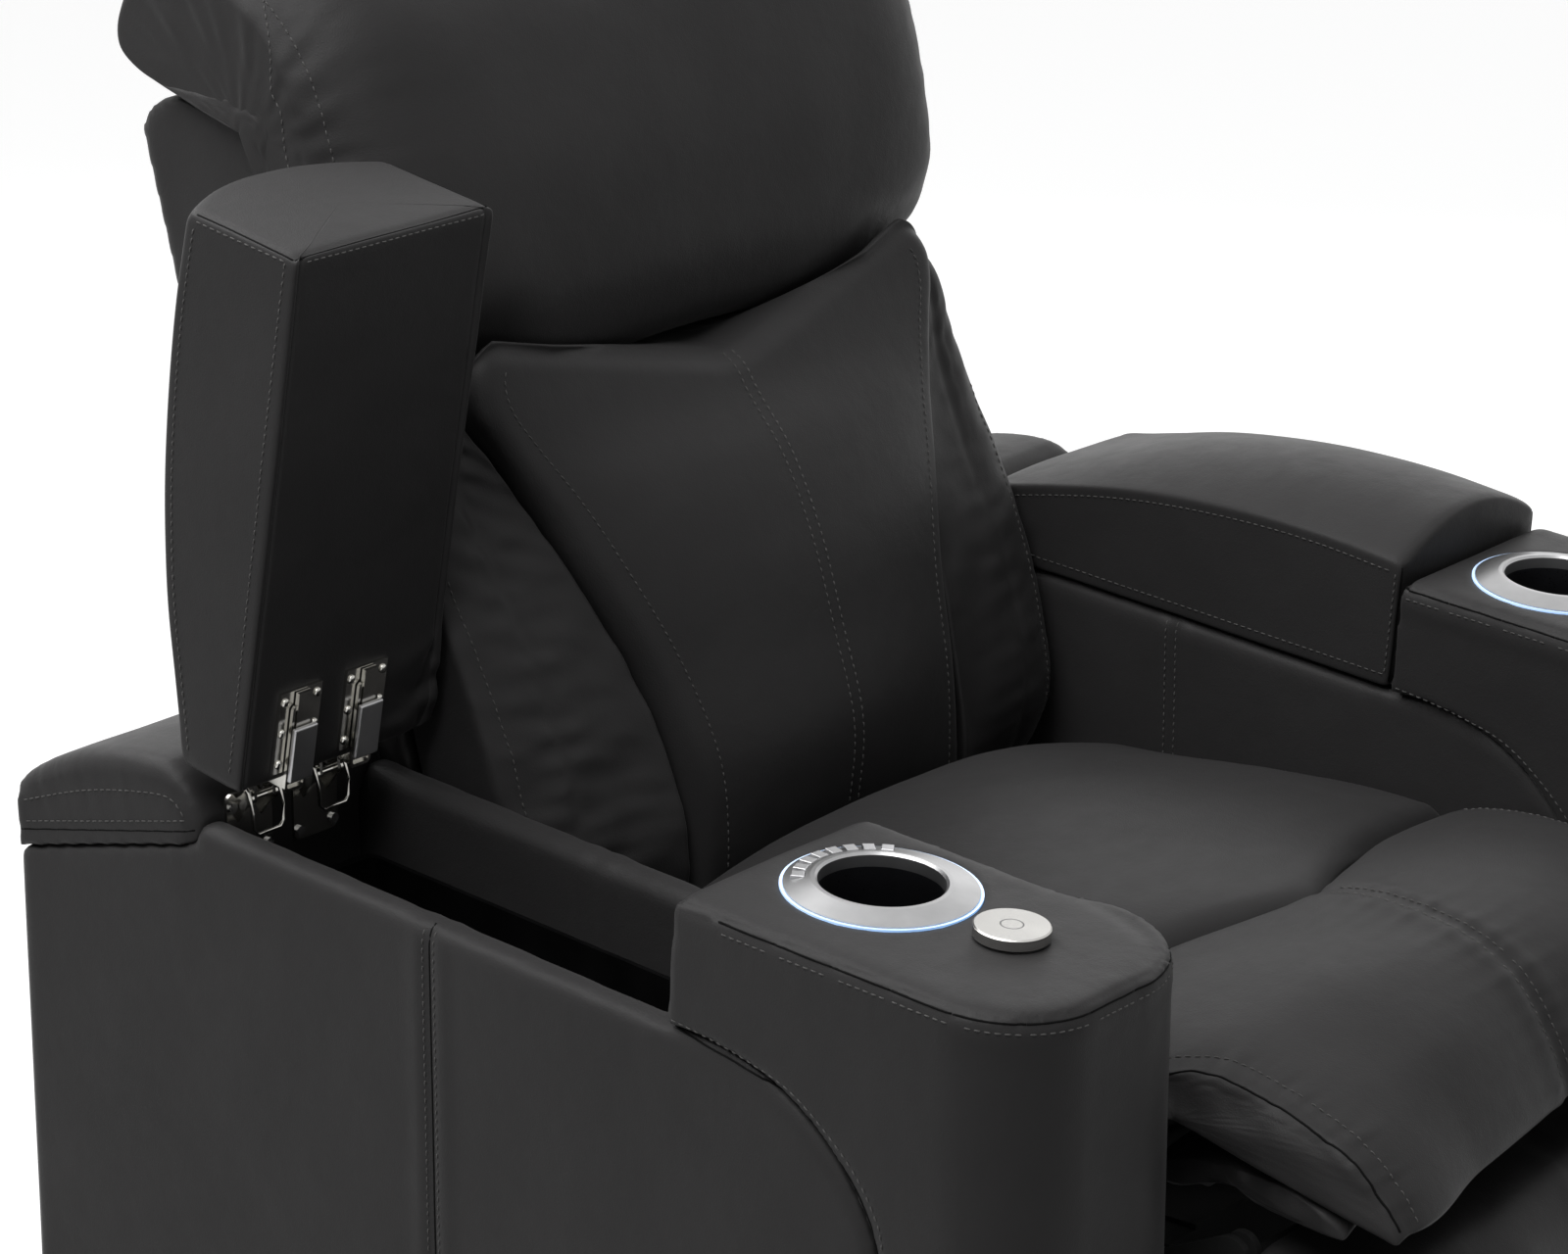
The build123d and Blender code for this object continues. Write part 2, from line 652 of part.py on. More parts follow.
# ---------------------------------------------------------------- back
def make_back_frame():
    """Two side boards, three cross rails, the lower pivot tube and the recline lever."""
    inner, outer = 210.0, 240.0
    bottom, top = 430.0, 940.0
    wall = BACK_DEPTH - SHELL
    with BuildPart() as frame:
        for side in (-1, 1):
            plane, thick = side_plane(side, inner, outer)
            with BuildSketch(plane):
                profile([(back_plane_y(bottom), bottom), (back_plane_y(bottom) + wall, bottom),
                         (back_plane_y(top) + wall, top), (back_plane_y(top), top)])
                with Locations(RECLINE_PIVOT):
                    Circle(26)
                profile([(RECLINE_PIVOT[0] - 26, RECLINE_PIVOT[1]), (RECLINE_PIVOT[0] + 26, RECLINE_PIVOT[1]),
                         (RECLINE_PIVOT[0] + 34, bottom + 5), (RECLINE_PIVOT[0] - 34, bottom + 5)])
                with Locations(RECLINE_PIVOT):
                    Circle(8 + FIT, mode=Mode.SUBTRACT)
            extrude(amount=thick)
        for low, high in ((470.0, 500.0), (560.0, 580.0), (905.0, 940.0)):
            with BuildSketch(Plane.YZ.offset(-BACK_HALF + SHELL)):
                front = back_plane_y(low) + (0 if low > 900 or low < 500 else 62)
                shift = back_plane_y(high) - back_plane_y(low)
                depth = back_plane_y(low) + wall - front
                profile([(front, low), (front + depth, low), (front + depth + shift, high),
                         (front + shift, high)])
            extrude(amount=2 * (BACK_HALF - SHELL))
        with BuildSketch(Plane.YZ.offset(-inner)):
            with Locations(RECLINE_PIVOT):
                Circle(14)
        extrude(amount=2 * inner)
        pin = polar(RECLINE_LEVER, -90 + RECLINE_ANGLE / 2, RECLINE_PIVOT)
        add(lever_arm(RECLINE_X, RECLINE_PIVOT, pin, 14))
        for side in (-1, 1):
            plane, thick = side_plane(side, *HEAD_EAR)
            with BuildSketch(plane):
                with Locations(HEAD_PIVOT):
                    Circle(11)
                profile([(HEAD_PIVOT[0], 811), (312, 811), (312, 833), (HEAD_PIVOT[0], 833)])
                profile([(294, 811), (318, 910), (340, 910), (318, 811)])
                with Locations(HEAD_PIVOT):
                    Circle(7 + FIT, mode=Mode.SUBTRACT)
            extrude(amount=thick)
    return frame.part


def lever_arm(x, pivot, pin, hub, width=6.0, pin_radius=4.0, pin_length=20.0):
    """Flat lever from a pivot tube to a cross pin that an actuator's fork holds."""
    middle = ((pivot[0] + pin[0]) / 2, (pivot[1] + pin[1]) / 2)
    length = hypot(pin[0] - pivot[0], pin[1] - pivot[1])
    turn = degrees(atan2(pin[1] - pivot[1], pin[0] - pivot[0]))
    with BuildPart(mode=Mode.PRIVATE) as lever:
        with BuildSketch(Plane.YZ.offset(x - width / 2)):
            with Locations(Location(middle, turn)):
                SlotCenterToCenter(length, 15)
            with Locations(pivot):
                Circle(hub + 6)
        extrude(amount=width)
        with BuildSketch(Plane.YZ.offset(x - pin_length / 2)):
            with Locations(pin):
                Circle(pin_radius)
        extrude(amount=pin_length)
    return lever.part


def make_back_shell():
    """Upholstered outer shell of the back: rear wall, two sides and a top shelf."""
    low, shelf = 425.0, 957.0
    front_low, front_top = back_plane_y(low), back_plane_y(shelf)
    with BuildPart() as shell:
        with BuildSketch(Plane.YZ.offset(-BACK_HALF)):
            with BuildLine():
                Polyline((397, shelf), (front_top, shelf), (front_low, low), (back_rear_y(low), low),
                         (back_rear_y(935), 935))
                ThreePointArc((back_rear_y(935), 935), (428, 950), (397, shelf))
            make_face()
        extrude(amount=2 * BACK_HALF)
        with BuildSketch(Plane.YZ.offset(-BACK_HALF + SHELL)):
            inner = BACK_DEPTH - SHELL
            profile([(back_plane_y(low - 20) - 30, low - 20), (back_plane_y(low - 20) + inner, low - 20),
                     (back_plane_y(940) + inner, 940), (back_plane_y(940) - 30, 940)])
        extrude(amount=2 * (BACK_HALF - SHELL), mode=Mode.SUBTRACT)
    return shell.part


HEAD_SWEEP = 45.0          # the pillow's lower edge stays inside this radius of its pivot
LUMBAR_STATIONS = [       # z, half width, depth of the edge in front of the back plane, y of the middle
    (446.0, 136.0, 78.0, 112.0),
    (500.0, 135.0, 92.0, 103.0),
    (551.0, 137.0, 98.0, 99.0),
    (614.0, 149.0, 94.0, 116.0),
    (676.0, 172.0, 86.0, 136.0),
    (725.0, 193.0, 78.0, 161.0),
    (758.0, 211.0, 74.0, 188.0),
    (782.0, 226.0, 72.0, 201.0),
    (808.0, 238.0, 72.0, 214.0),
]
LUMBAR_PEAK = ((0.0, 774.0), (300.0, 814.0))     # its top edge dips to the middle


def make_lumbar():
    """Centre cushion, narrow at the seat and flaring to the headrest."""
    with BuildPart() as cushion:
        for z, half, edge, middle in LUMBAR_STATIONS:
            rear = back_plane_y(z)
            with BuildSketch(Plane.XY.offset(z)):
                with BuildLine():
                    Line((half - 14, rear), (-half + 14, rear))
                    ThreePointArc((-half + 14, rear), (-half, rear - edge * 0.6), (-half + 9, rear - edge))
                    ThreePointArc((-half + 9, rear - edge), (0, middle), (half - 9, rear - edge))
                    ThreePointArc((half - 9, rear - edge), (half, rear - edge * 0.6), (half - 14, rear))
                make_face()
        loft(ruled=True)
        (low_x, low_z), (high_x, high_z) = LUMBAR_PEAK
        with BuildSketch(Plane.XZ.offset(-400)):
            profile([(low_x, low_z), (high_x, high_z), (high_x, 860), (-high_x, 860), (-high_x, high_z)])
        extrude(amount=400, mode=Mode.SUBTRACT)
        with BuildSketch(Plane.YZ.offset(-BACK_HALF)):
            with Locations(HEAD_PIVOT):
                Circle(HEAD_SWEEP)
        extrude(amount=2 * BACK_HALF, mode=Mode.SUBTRACT)
    return cushion.part


BOLSTER_STATIONS = [      # z, inner edge, outer edge, y at the inner edge, y of the face
    (450.0, 140.5, 262.0, 128.0, 146.0),
    (499.0, 139.5, 268.0, 126.0, 132.0),
    (559.0, 142.5, 270.0, 139.0, 144.0),
    (620.0, 155.0, 270.0, 162.0, 166.0),
    (676.0, 176.5, 270.0, 187.0, 194.0),
    (725.0, 197.5, 270.0, 210.0, 219.0),
    (775.0, 226.5, 269.0, 232.0, 243.0),
    (790.0, 235.0, 266.0, 242.0, 256.0),
]


def make_bolster(side):
    """Side cushion that fills the space between the centre cushion and the arm."""
    with BuildPart() as bolster:
        for z, near, far, near_y, face_y in BOLSTER_STATIONS:
            rear = back_plane_y(z)
            with BuildSketch(Plane.XY.offset(z)):
                with BuildLine():
                    Line((side * near, rear), (side * far, rear))
                    Line((side * far, rear), (side * far, face_y + 14))
                    ThreePointArc((side * far, face_y + 14), (side * (near + far * 2) / 3, face_y - 2),
                                  (side * near, near_y + 4))
                    Line((side * near, near_y + 4), (side * near, rear))
                make_face()
        loft(ruled=True)
    return bolster.part


# The pillow's side-view outline, in the middle and at its ends. Each station blends the two.
HEAD_MIDDLE = {"low": (238, 787), "bulge": (222, 850), "brow": (247, 962), "crown_front": (291, 1042),
               "crown": (400, 1073), "crown_rear": (468.5, 1036), "rear": (456, 1000), "hem": (446, 976),
               "under": (418, 964), "shelf": (379, 962), "notch": (326.3, 959.5), "back": (289, 813),
               "heel": (258, 785)}
HEAD_ENDS = {"low": (281, 806), "bulge": (277, 850), "brow": (291, 935), "crown_front": (322, 1010),
             "crown": (388, 1034), "crown_rear": (438, 1022), "rear": (447, 996), "hem": (442, 978),
             "under": (416, 966), "shelf": (379, 963), "notch": (326.3, 959.5), "back": (289, 816),
             "heel": (286, 808)}
HEAD_STATIONS = [         # x, blend towards the end outline, rise of the lower edge
    (-HEAD_HALF, 1.0, 14.0),
    (-264.0, 0.5, 20.0),
    (-190.0, 0.1, 22.0),
    (0.0, 0.0, 0.0),
    (190.0, 0.1, 22.0),
    (264.0, 0.5, 20.0),
    (HEAD_HALF, 1.0, 14.0),
]
HEAD_POCKET = 130.0        # half width of the pocket for the tilt bracket


def make_headrest():
    """Pillow that wraps over the top of the back, with a pocket for its bracket."""
    with BuildPart() as pillow:
        for x, blend, rise in HEAD_STATIONS:
            p = {}
            for key, (y, z) in HEAD_MIDDLE.items():
                lift = {"low": rise, "heel": rise, "back": rise, "bulge": rise / 2}.get(key, 0.0)
                p[key] = (y * (1 - blend) + HEAD_ENDS[key][0] * blend,
                          z * (1 - blend) + HEAD_ENDS[key][1] * blend + lift)
            with BuildSketch(Plane.YZ.offset(x)):
                with BuildLine():
                    ThreePointArc(p["low"], p["bulge"], p["brow"])
                    ThreePointArc(p["brow"], p["crown_front"], p["crown"])
                    ThreePointArc(p["crown"], p["crown_rear"], p["rear"])
                    ThreePointArc(p["rear"], p["hem"], p["under"])
                    Polyline(p["under"], p["shelf"], p["notch"], p["back"], p["heel"], p["low"])
                make_face()
        loft(ruled=True)
        with BuildSketch(Plane.YZ.offset(-HEAD_POCKET)):
            profile([(246, 770), (300, 770), (300, 850), (246, 850)])
        extrude(amount=2 * HEAD_POCKET, mode=Mode.SUBTRACT)
    return pillow.part


def make_headrest_bracket():
    """Plate at the back of the pillow's pocket, with its pivot tube and lever."""
    pin = polar(HEAD_LEVER, -BACK_LEAN - HEAD_ANGLE / 2, HEAD_PIVOT)
    with BuildPart() as bracket:
        with BuildSketch(Plane.YZ.offset(-HEAD_POCKET + 2)):
            profile([(246, 808), (249, 808), (249, 848), (246, 848)])
        extrude(amount=2 * HEAD_POCKET - 4)
        with BuildSketch(Plane.YZ.offset(-HEAD_EAR[0] + 0.5)):
            with Locations(HEAD_PIVOT):
                Circle(9)
            profile([(248, 813), (HEAD_PIVOT[0], 813), (HEAD_PIVOT[0], 831), (248, 831)])
        extrude(amount=2 * HEAD_EAR[0] - 1)
        with BuildSketch(Plane.YZ.offset(-HEAD_EAR[1] - 2)):
            with Locations(HEAD_PIVOT):
                Circle(7)
        extrude(amount=2 * HEAD_EAR[1] + 4)
        add(lever_arm(0, HEAD_PIVOT, pin, 5))
    return bracket.part


# ---------------------------------------------------------------- actuators
ROD, TUBE, MOUTH, ENGAGED = 8.0, 15.0, 30.0, 40.0
RECLINE_X, FOOT_X = 90.0, -90.0


def actuator_plane(x, point, direction):
    """Plane at an actuator fork: local z along the rod towards the pin."""
    angle = radians(direction)
    return Plane(origin=(x, point[0], point[1]), x_dir=(1, 0, 0), z_dir=(0, cos(angle), sin(angle)))


def make_rod(plane, stroke, pulls, sweep):
    """Actuator rod with a slotted fork. The slot lets the lever's pin rise and fall."""
    mouth = -(stroke + MOUTH) if pulls else -MOUTH
    inner = mouth - ENGAGED - (0 if pulls else stroke)
    with BuildPart() as rod:
        with BuildSketch(plane.offset(inner)):
            Circle(ROD)
        extrude(amount=-inner - 22)
        with BuildSketch(plane.offset(-27)):
            Rectangle(20, 2 * sweep + 20)
        extrude(amount=37)
        with BuildSketch(plane.offset(-20)):
            Rectangle(7.2, 2 * sweep + 30)
        extrude(amount=40, mode=Mode.SUBTRACT)
        across = Plane(origin=plane.origin - plane.x_dir * 20, x_dir=plane.y_dir, z_dir=plane.x_dir)
        with BuildSketch(across):
            SlotCenterToCenter(2 * sweep, 2 * (4.0 + 0.9))
        extrude(amount=40, mode=Mode.SUBTRACT)
    return rod.part


def make_housing(plane, stroke, pulls):
    """Actuator housing: rod tube, gearbox and the motor beside it."""
    mouth = -(stroke + MOUTH) if pulls else -MOUTH
    end = mouth - ENGAGED - 5 - stroke
    with BuildPart() as housing:
        with BuildSketch(plane.offset(end - 24)):
            RectangleRounded(34, 34, 5)
        extrude(amount=24)
        with BuildSketch(plane.offset(end)):
            Circle(TUBE)
        extrude(amount=mouth - end)
        with BuildSketch(plane.offset(end)):
            Circle(ROD + FIT)
        extrude(amount=mouth - end, mode=Mode.SUBTRACT)
        with BuildSketch(plane.offset(end - 24)):
            with Locations((32, 0)):
                RectangleRounded(30, 32, 6)
        extrude(amount=92)
    return housing.part


RECLINE_STROKE = 2 * RECLINE_LEVER * sin(radians(RECLINE_ANGLE / 2))
RECLINE_SAG = RECLINE_LEVER * (1 - cos(radians(RECLINE_ANGLE / 2)))
FOOT_STROKE = 2 * FOOT_LEVER * sin(radians(FOOT_SWING / 2))
FOOT_SAG = FOOT_LEVER * (1 - cos(radians(FOOT_SWING / 2)))
HEAD_STROKE = 2 * HEAD_LEVER * sin(radians(HEAD_ANGLE / 2))
HEAD_SAG = HEAD_LEVER * (1 - cos(radians(HEAD_ANGLE / 2)))


def recline_fork():
    pin = polar(RECLINE_LEVER, -90 + RECLINE_ANGLE / 2, RECLINE_PIVOT)
    return actuator_plane(RECLINE_X, (pin[0], pin[1] - RECLINE_SAG / 2), 0)


def foot_fork():
    pin = polar(FOOT_LEVER, -90 - FOOT_SWING / 2, FOOT_PIVOT)
    return actuator_plane(FOOT_X, (pin[0], pin[1] - FOOT_SAG / 2), 180)


def head_fork():
    pin = polar(HEAD_LEVER, -BACK_LEAN - HEAD_ANGLE / 2, HEAD_PIVOT)
    centre = polar(HEAD_SAG / 2, -BACK_LEAN, pin)
    return actuator_plane(0, centre, 90 - BACK_LEAN)


# ---------------------------------------------------------------- footrest
def bar(start, end, radius):
    """Rounded link between two pins, added to the current sketch."""
    middle = ((start[0] + end[0]) / 2, (start[1] + end[1]) / 2)
    turn = degrees(atan2(end[1] - start[1], end[0] - start[0]))
    length = hypot(end[0] - start[0], end[1] - start[1])
    with Locations(Location(middle, turn)):
        SlotCenterToCenter(length, 2 * radius)


KNEE = polar(*FOOT_MAIN, FOOT_PIVOT)
BOARD_PIVOT = polar(*FOOT_CARRIER, KNEE)
TAIL_PIN = polar(*FOOT_TAIL, KNEE)


def make_main_links():
    with BuildPart() as links:
        for side in (-1, 1):
            plane, thick = side_plane(side, MAIN_X, MAIN_X + BAR)
            with BuildSketch(plane):
                bar(FOOT_PIVOT, KNEE, 13)
            extrude(amount=thick)
            stub, length = side_plane(side, MAIN_X + BAR, PLATE_X + PLATE + 2)
            with BuildSketch(stub):
                with Locations(FOOT_PIVOT):
                    Circle(8)
            extrude(amount=length)
            pin, length = side_plane(side, CARRIER_X - 1, MAIN_X)
            with BuildSketch(pin):
                with Locations(KNEE):
                    Circle(6)
            extrude(amount=length)
        with BuildSketch(Plane.YZ.offset(-MAIN_X)):
            with Locations(FOOT_PIVOT):
                Circle(11)
        extrude(amount=2 * MAIN_X)
        pin = polar(FOOT_LEVER, -90 - FOOT_SWING / 2, FOOT_PIVOT)
        add(lever_arm(FOOT_X, FOOT_PIVOT, pin, 11))
    return links.part


def make_carrier_links():
    with BuildPart() as links:
        for side in (-1, 1):
            plane, thick = side_plane(side, CARRIER_X, CARRIER_X + BAR)
            with BuildSketch(plane):
                bar(KNEE, BOARD_PIVOT, 12)
                bar(KNEE, TAIL_PIN, 12)
                with Locations(KNEE):
                    Circle(6 + FIT, mode=Mode.SUBTRACT)
            extrude(amount=thick)
            pin, length = side_plane(side, CARRIER_X + BAR, MAIN_X + BAR + 1)
            with BuildSketch(pin):
                with Locations(TAIL_PIN):
                    Circle(5)
            extrude(amount=length)
            pin, length = side_plane(side, BRACKET_X - 1, CARRIER_X)
            with BuildSketch(pin):
                with Locations(BOARD_PIVOT):
                    Circle(6)
            extrude(amount=length)
    return links.part


def make_guide_links():
    """Rear links of the footrest parallelogram. The upper hole is the open pivot."""
    with BuildPart() as links:
        for side in (-1, 1):
            plane, thick = side_plane(side, MAIN_X, MAIN_X + BAR)
            with BuildSketch(plane):
                bar(GUIDE_PIVOT, TAIL_PIN, 11)
                with Locations(GUIDE_PIVOT):
                    Circle(6 + FIT, mode=Mode.SUBTRACT)
                with Locations(TAIL_PIN):
                    Circle(5.6, mode=Mode.SUBTRACT)
            extrude(amount=thick)
    return links.part


def make_foot_board():
    """Footrest board with a bracket each side for the carrier links."""
    with BuildPart() as board:
        with BuildSketch(Plane.XZ.offset(-BOARD_FACE)):
            with Locations((0, (PAD_TOP + PAD_BOTTOM) / 2)):
                Rectangle(440, PAD_TOP - PAD_BOTTOM - 12)
        extrude(amount=12)
        for side in (-1, 1):
            plane, thick = side_plane(side, BRACKET_X - BAR, BRACKET_X)
            with BuildSketch(plane):
                with Locations(BOARD_PIVOT):
                    Circle(11)
                profile([(BOARD_PIVOT[0], BOARD_PIVOT[1] + 10), (BOARD_FACE, 400), (BOARD_FACE, 330),
                         (BOARD_PIVOT[0] + 10, BOARD_PIVOT[1] - 4)])
            extrude(amount=thick)
            with BuildSketch(plane):
                with Locations(BOARD_PIVOT):
                    Circle(6 + FIT)
            extrude(amount=thick, mode=Mode.SUBTRACT)
    return board.part


def make_foot_pad():
    rear = BOARD_FACE - 12
    with BuildPart() as pad:
        for x, bulge in ((-245.0, 0.0), (-120.0, 15.0), (0.0, 10.0), (120.0, 15.0), (245.0, 0.0)):
            with BuildSketch(Plane.YZ.offset(x)):
                middle = (PAD_TOP + PAD_BOTTOM) / 2
                with BuildLine():
                    Line((rear, PAD_BOTTOM), (rear, PAD_TOP))
                    Line((rear, PAD_TOP), (rear - 55, PAD_TOP - 8))
                    ThreePointArc((rear - 55, PAD_TOP - 8), (rear - 88 - bulge, middle),
                                  (rear - 55, PAD_BOTTOM + 8))
                    Line((rear - 55, PAD_BOTTOM + 8), (rear, PAD_BOTTOM))
                make_face()
        loft(ruled=True)
    return pad.part


# ---------------------------------------------------------------- build
for name, side in (("right", -1), ("left", 1)):
    opening = LID_SWING if side < 0 else 0.0
    save(make_outer_panel(side), f"{name}_arm_outer_panel")
    save(make_inner_panel(side), f"{name}_arm_inner_panel")
    save(make_rear_block(side), f"{name}_arm_rear_block")
    save(make_console(side), f"{name}_cup_console")
    save(make_tray(side), f"{name}_storage_tray")
    save(make_cup_ring(side), f"{name}_cup_ring")
    save(make_light_ring(side), f"{name}_cup_light_ring")
    save(make_cup_liner(side), f"{name}_cup_liner")
    save(make_lid(side, opening), f"{name}_lid")
    save(make_fixed_leaves(side), f"{name}_hinge_fixed_leaves")
    save(make_links(side, opening), f"{name}_hinge_links")
    save(make_lid_leaves(side, opening), f"{name}_hinge_lid_leaves")
save(make_leaf_screws(), "hinge_screws")
save(make_socket(-1), "accessory_socket")
save(make_cap(-1), "accessory_cap")
for index in range(BUTTON_COUNT):
    save(make_button(-1, index), f"button_{index + 1}")

save(make_glides(), "glide_feet")
save(make_base_frame(), "base_frame")
save(make_seat_frame(), "seat_frame")
save(make_seat_cushion(), "seat_cushion")
save(make_front_roll(), "seat_front_roll")
save(make_underpad(), "seat_front_underpad")
save(make_valance(), "rear_valance")

save(make_back_frame(), "back_frame")
save(make_back_shell(), "back_shell")
save(make_lumbar(), "lumbar_cushion")
save(make_bolster(-1), "right_back_bolster")
save(make_bolster(1), "left_back_bolster")
save(make_headrest(), "headrest_pillow")
save(make_headrest_bracket(), "headrest_bracket")

save(make_rod(recline_fork(), RECLINE_STROKE, True, RECLINE_SAG / 2 + 1.5), "recline_actuator_rod")
save(make_housing(recline_fork(), RECLINE_STROKE, True), "recline_actuator_housing")
save(make_rod(foot_fork(), FOOT_STROKE, True, FOOT_SAG / 2 + 1.5), "footrest_actuator_rod")
save(make_housing(foot_fork(), FOOT_STROKE, True), "footrest_actuator_housing")
save(make_rod(head_fork(), HEAD_STROKE, False, HEAD_SAG / 2 + 1.5), "headrest_actuator_rod")
save(make_housing(head_fork(), HEAD_STROKE, False), "headrest_actuator_housing")

save(make_main_links(), "footrest_main_links")
save(make_carrier_links(), "footrest_carrier_links")
save(make_guide_links(), "footrest_guide_links")
save(make_foot_board(), "footrest_board")
save(make_foot_pad(), "footrest_pad")
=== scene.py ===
import math

import bmesh
import bpy
import numpy as np
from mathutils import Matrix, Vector
from mathutils.bvhtree import BVHTree


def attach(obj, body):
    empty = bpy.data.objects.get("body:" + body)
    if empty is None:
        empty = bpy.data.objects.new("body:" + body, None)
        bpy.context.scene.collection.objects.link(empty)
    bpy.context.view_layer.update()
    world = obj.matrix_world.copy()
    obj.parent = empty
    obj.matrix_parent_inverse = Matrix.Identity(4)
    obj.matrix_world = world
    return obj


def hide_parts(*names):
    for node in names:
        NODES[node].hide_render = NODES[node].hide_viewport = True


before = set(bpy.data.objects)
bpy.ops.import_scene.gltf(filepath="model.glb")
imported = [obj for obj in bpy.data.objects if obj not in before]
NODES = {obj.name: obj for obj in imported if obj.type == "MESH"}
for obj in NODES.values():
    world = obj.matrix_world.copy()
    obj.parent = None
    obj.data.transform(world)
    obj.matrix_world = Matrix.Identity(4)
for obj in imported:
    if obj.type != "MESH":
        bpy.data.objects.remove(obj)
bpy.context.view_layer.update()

MM = 0.001

# ---------------------------------------------------------------- dimensions, in millimetres
# An arm's faces, the top edge of its panels, and the console's top
ARM_OUT, ARM_IN = 443.0, 280.0
WALL_Y, WALL_Z, WALL_SLOPE = -124.0, 546.0, math.radians(5.0)
CONSOLE_BACK, CONSOLE_TOP, CONSOLE_SLOPE = -124.0, 623.0, math.radians(4.53)
# (depth, height) along the curved seam between a console's post and an arm panel
SEAM_START, SEAM_MID, SEAM_END = (-117.5, 545.0), (-206.0, 524.0), (-263.0, 452.0)
CUP_X, CUP_Y = 351.0, -195.0
# A lid's pivot as (depth, height), how far it opens in degrees, and its underside below the pivot
LID_PIVOT, LID_SWING, LID_FLOOR = (226.5, 597.3), 84.6, -19.9
LID_START, LID_END = 9.0, 343.7
SIDES = [("right", -1), ("left", 1)]
OPENING = {"right": LID_SWING, "left": 0.0}
# The back's lean, a point on its rear face, and its depth behind the cushions
BACK_LEAN, BACK_REAR_Y, BACK_REAR_Z, BACK_DEPTH = math.radians(14.3), 409.0, 821.0, 117.0
SEAT_HALF, SEAT_REAR, SEAT_UNDER = 270.0, 95, 393


def wall_z(y):
    return WALL_Z + (y - WALL_Y) * math.tan(WALL_SLOPE)


def console_z(y):
    return CONSOLE_TOP + (y - CONSOLE_BACK) * math.tan(CONSOLE_SLOPE)


def back_plane(z):
    return BACK_REAR_Y + (z - BACK_REAR_Z) * math.tan(BACK_LEAN) - BACK_DEPTH


# ---------------------------------------------------------------- materials
def new_material(name, color, rough, metallic=0.0):
    mat = bpy.data.materials.new(name)
    mat.use_nodes = True
    shader = mat.node_tree.nodes["Principled BSDF"]
    shader.inputs["Base Color"].default_value = (*color, 1)
    shader.inputs["Roughness"].default_value = rough
    shader.inputs["Metallic"].default_value = metallic
    return mat, mat.node_tree, shader


def feed(node, socket, source):
    node.id_data.links.new(source, node.inputs[socket])


def add_node(tree, kind, inputs=None, **props):
    node = tree.nodes.new(f"ShaderNode{kind}")
    for key, value in props.items():
        setattr(node, key, value)
    for key, value in (inputs or {}).items():
        node.inputs[key].default_value = value
    return node


def object_mapping(tree, **inputs):
    """Object coordinates in metres, moved or scaled."""
    mapping = add_node(tree, "Mapping", inputs)
    feed(mapping, "Vector", add_node(tree, "TexCoord").outputs["Object"])
    return mapping.outputs["Vector"]


def noise_tex(tree, vector, scale, detail=3.0, rough=0.55):
    node = add_node(tree, "TexNoise", {"Scale": scale, "Detail": detail, "Roughness": rough})
    feed(node, "Vector", vector)
    return node.outputs["Fac"]


def wave_tex(tree, vector, scale, distortion=0.0, **props):
    node = add_node(tree, "TexWave", {"Scale": scale, "Distortion": distortion}, **props)
    feed(node, "Vector", vector)
    return node.outputs["Fac"]


def ramp(tree, value, low, high, start=0.3, end=0.7):
    node = add_node(tree, "ValToRGB")
    for element, place, color in zip(node.color_ramp.elements, (start, end), (low, high)):
        element.position, element.color = place, (*color, 1)
    feed(node, "Fac", value)
    return node.outputs["Color"]


def bump(tree, height, distance, strength, under=None):
    node = add_node(tree, "Bump", {"Distance": distance, "Strength": strength})
    feed(node, "Height", height)
    if under is not None:
        feed(node, "Normal", under)
    return node.outputs["Normal"]


def math_node(tree, operation, first, second=None):
    """Arithmetic on a socket, with a second socket or number."""
    node = add_node(tree, "Math", operation=operation)
    feed(node, 0, first)
    if isinstance(second, float):
        node.inputs[1].default_value = second
    elif second is not None:
        feed(node, 1, second)
    return node.outputs["Value"]


def map_range(tree, value, target, socket, **limits):
    node = add_node(tree, "MapRange", {key.replace("_", " "): limit for key, limit in limits.items()})
    feed(node, "Value", value)
    feed(target, socket, node.outputs["Result"])


def leather_material(name, dark, light):
    """Smooth pigmented leather: fine pebble grain, soft creases, faint colour drift."""
    mat, tree, shader = new_material(name, dark, 0.45)
    vector = object_mapping(tree)
    drift = noise_tex(tree, vector, 7.0, 4.0)
    feed(shader, "Base Color", ramp(tree, drift, dark, light))
    fine = add_node(tree, "TexNoise", {"Scale": 420.0})
    feed(fine, "Vector", vector)
    warp = add_node(tree, "VectorMath", {1: (0.0016, 0.0016, 0.0016)}, operation="MULTIPLY_ADD")
    feed(warp, 0, fine.outputs["Color"])
    feed(warp, 2, vector)
    cells = add_node(tree, "TexVoronoi", {"Scale": 620.0}, feature="DISTANCE_TO_EDGE")
    feed(cells, "Vector", warp.outputs["Vector"])
    grain = bump(tree, cells.outputs["Distance"], 0.00022, 0.55)
    creases = noise_tex(tree, vector, 60.0, 5.0, 0.6)
    soft = bump(tree, creases, 0.0011, 0.35, grain)
    slow = noise_tex(tree, vector, 14.0, 2.0)
    feed(shader, "Normal", bump(tree, slow, 0.004, 0.3, soft))
    map_range(tree, creases, shader, "Roughness", To_Min=0.40, To_Max=0.56)
    shader.inputs["Specular IOR Level"].default_value = 0.12
    shader.inputs["Sheen Weight"].default_value = 0.04
    shader.inputs["Sheen Roughness"].default_value = 0.35
    return mat


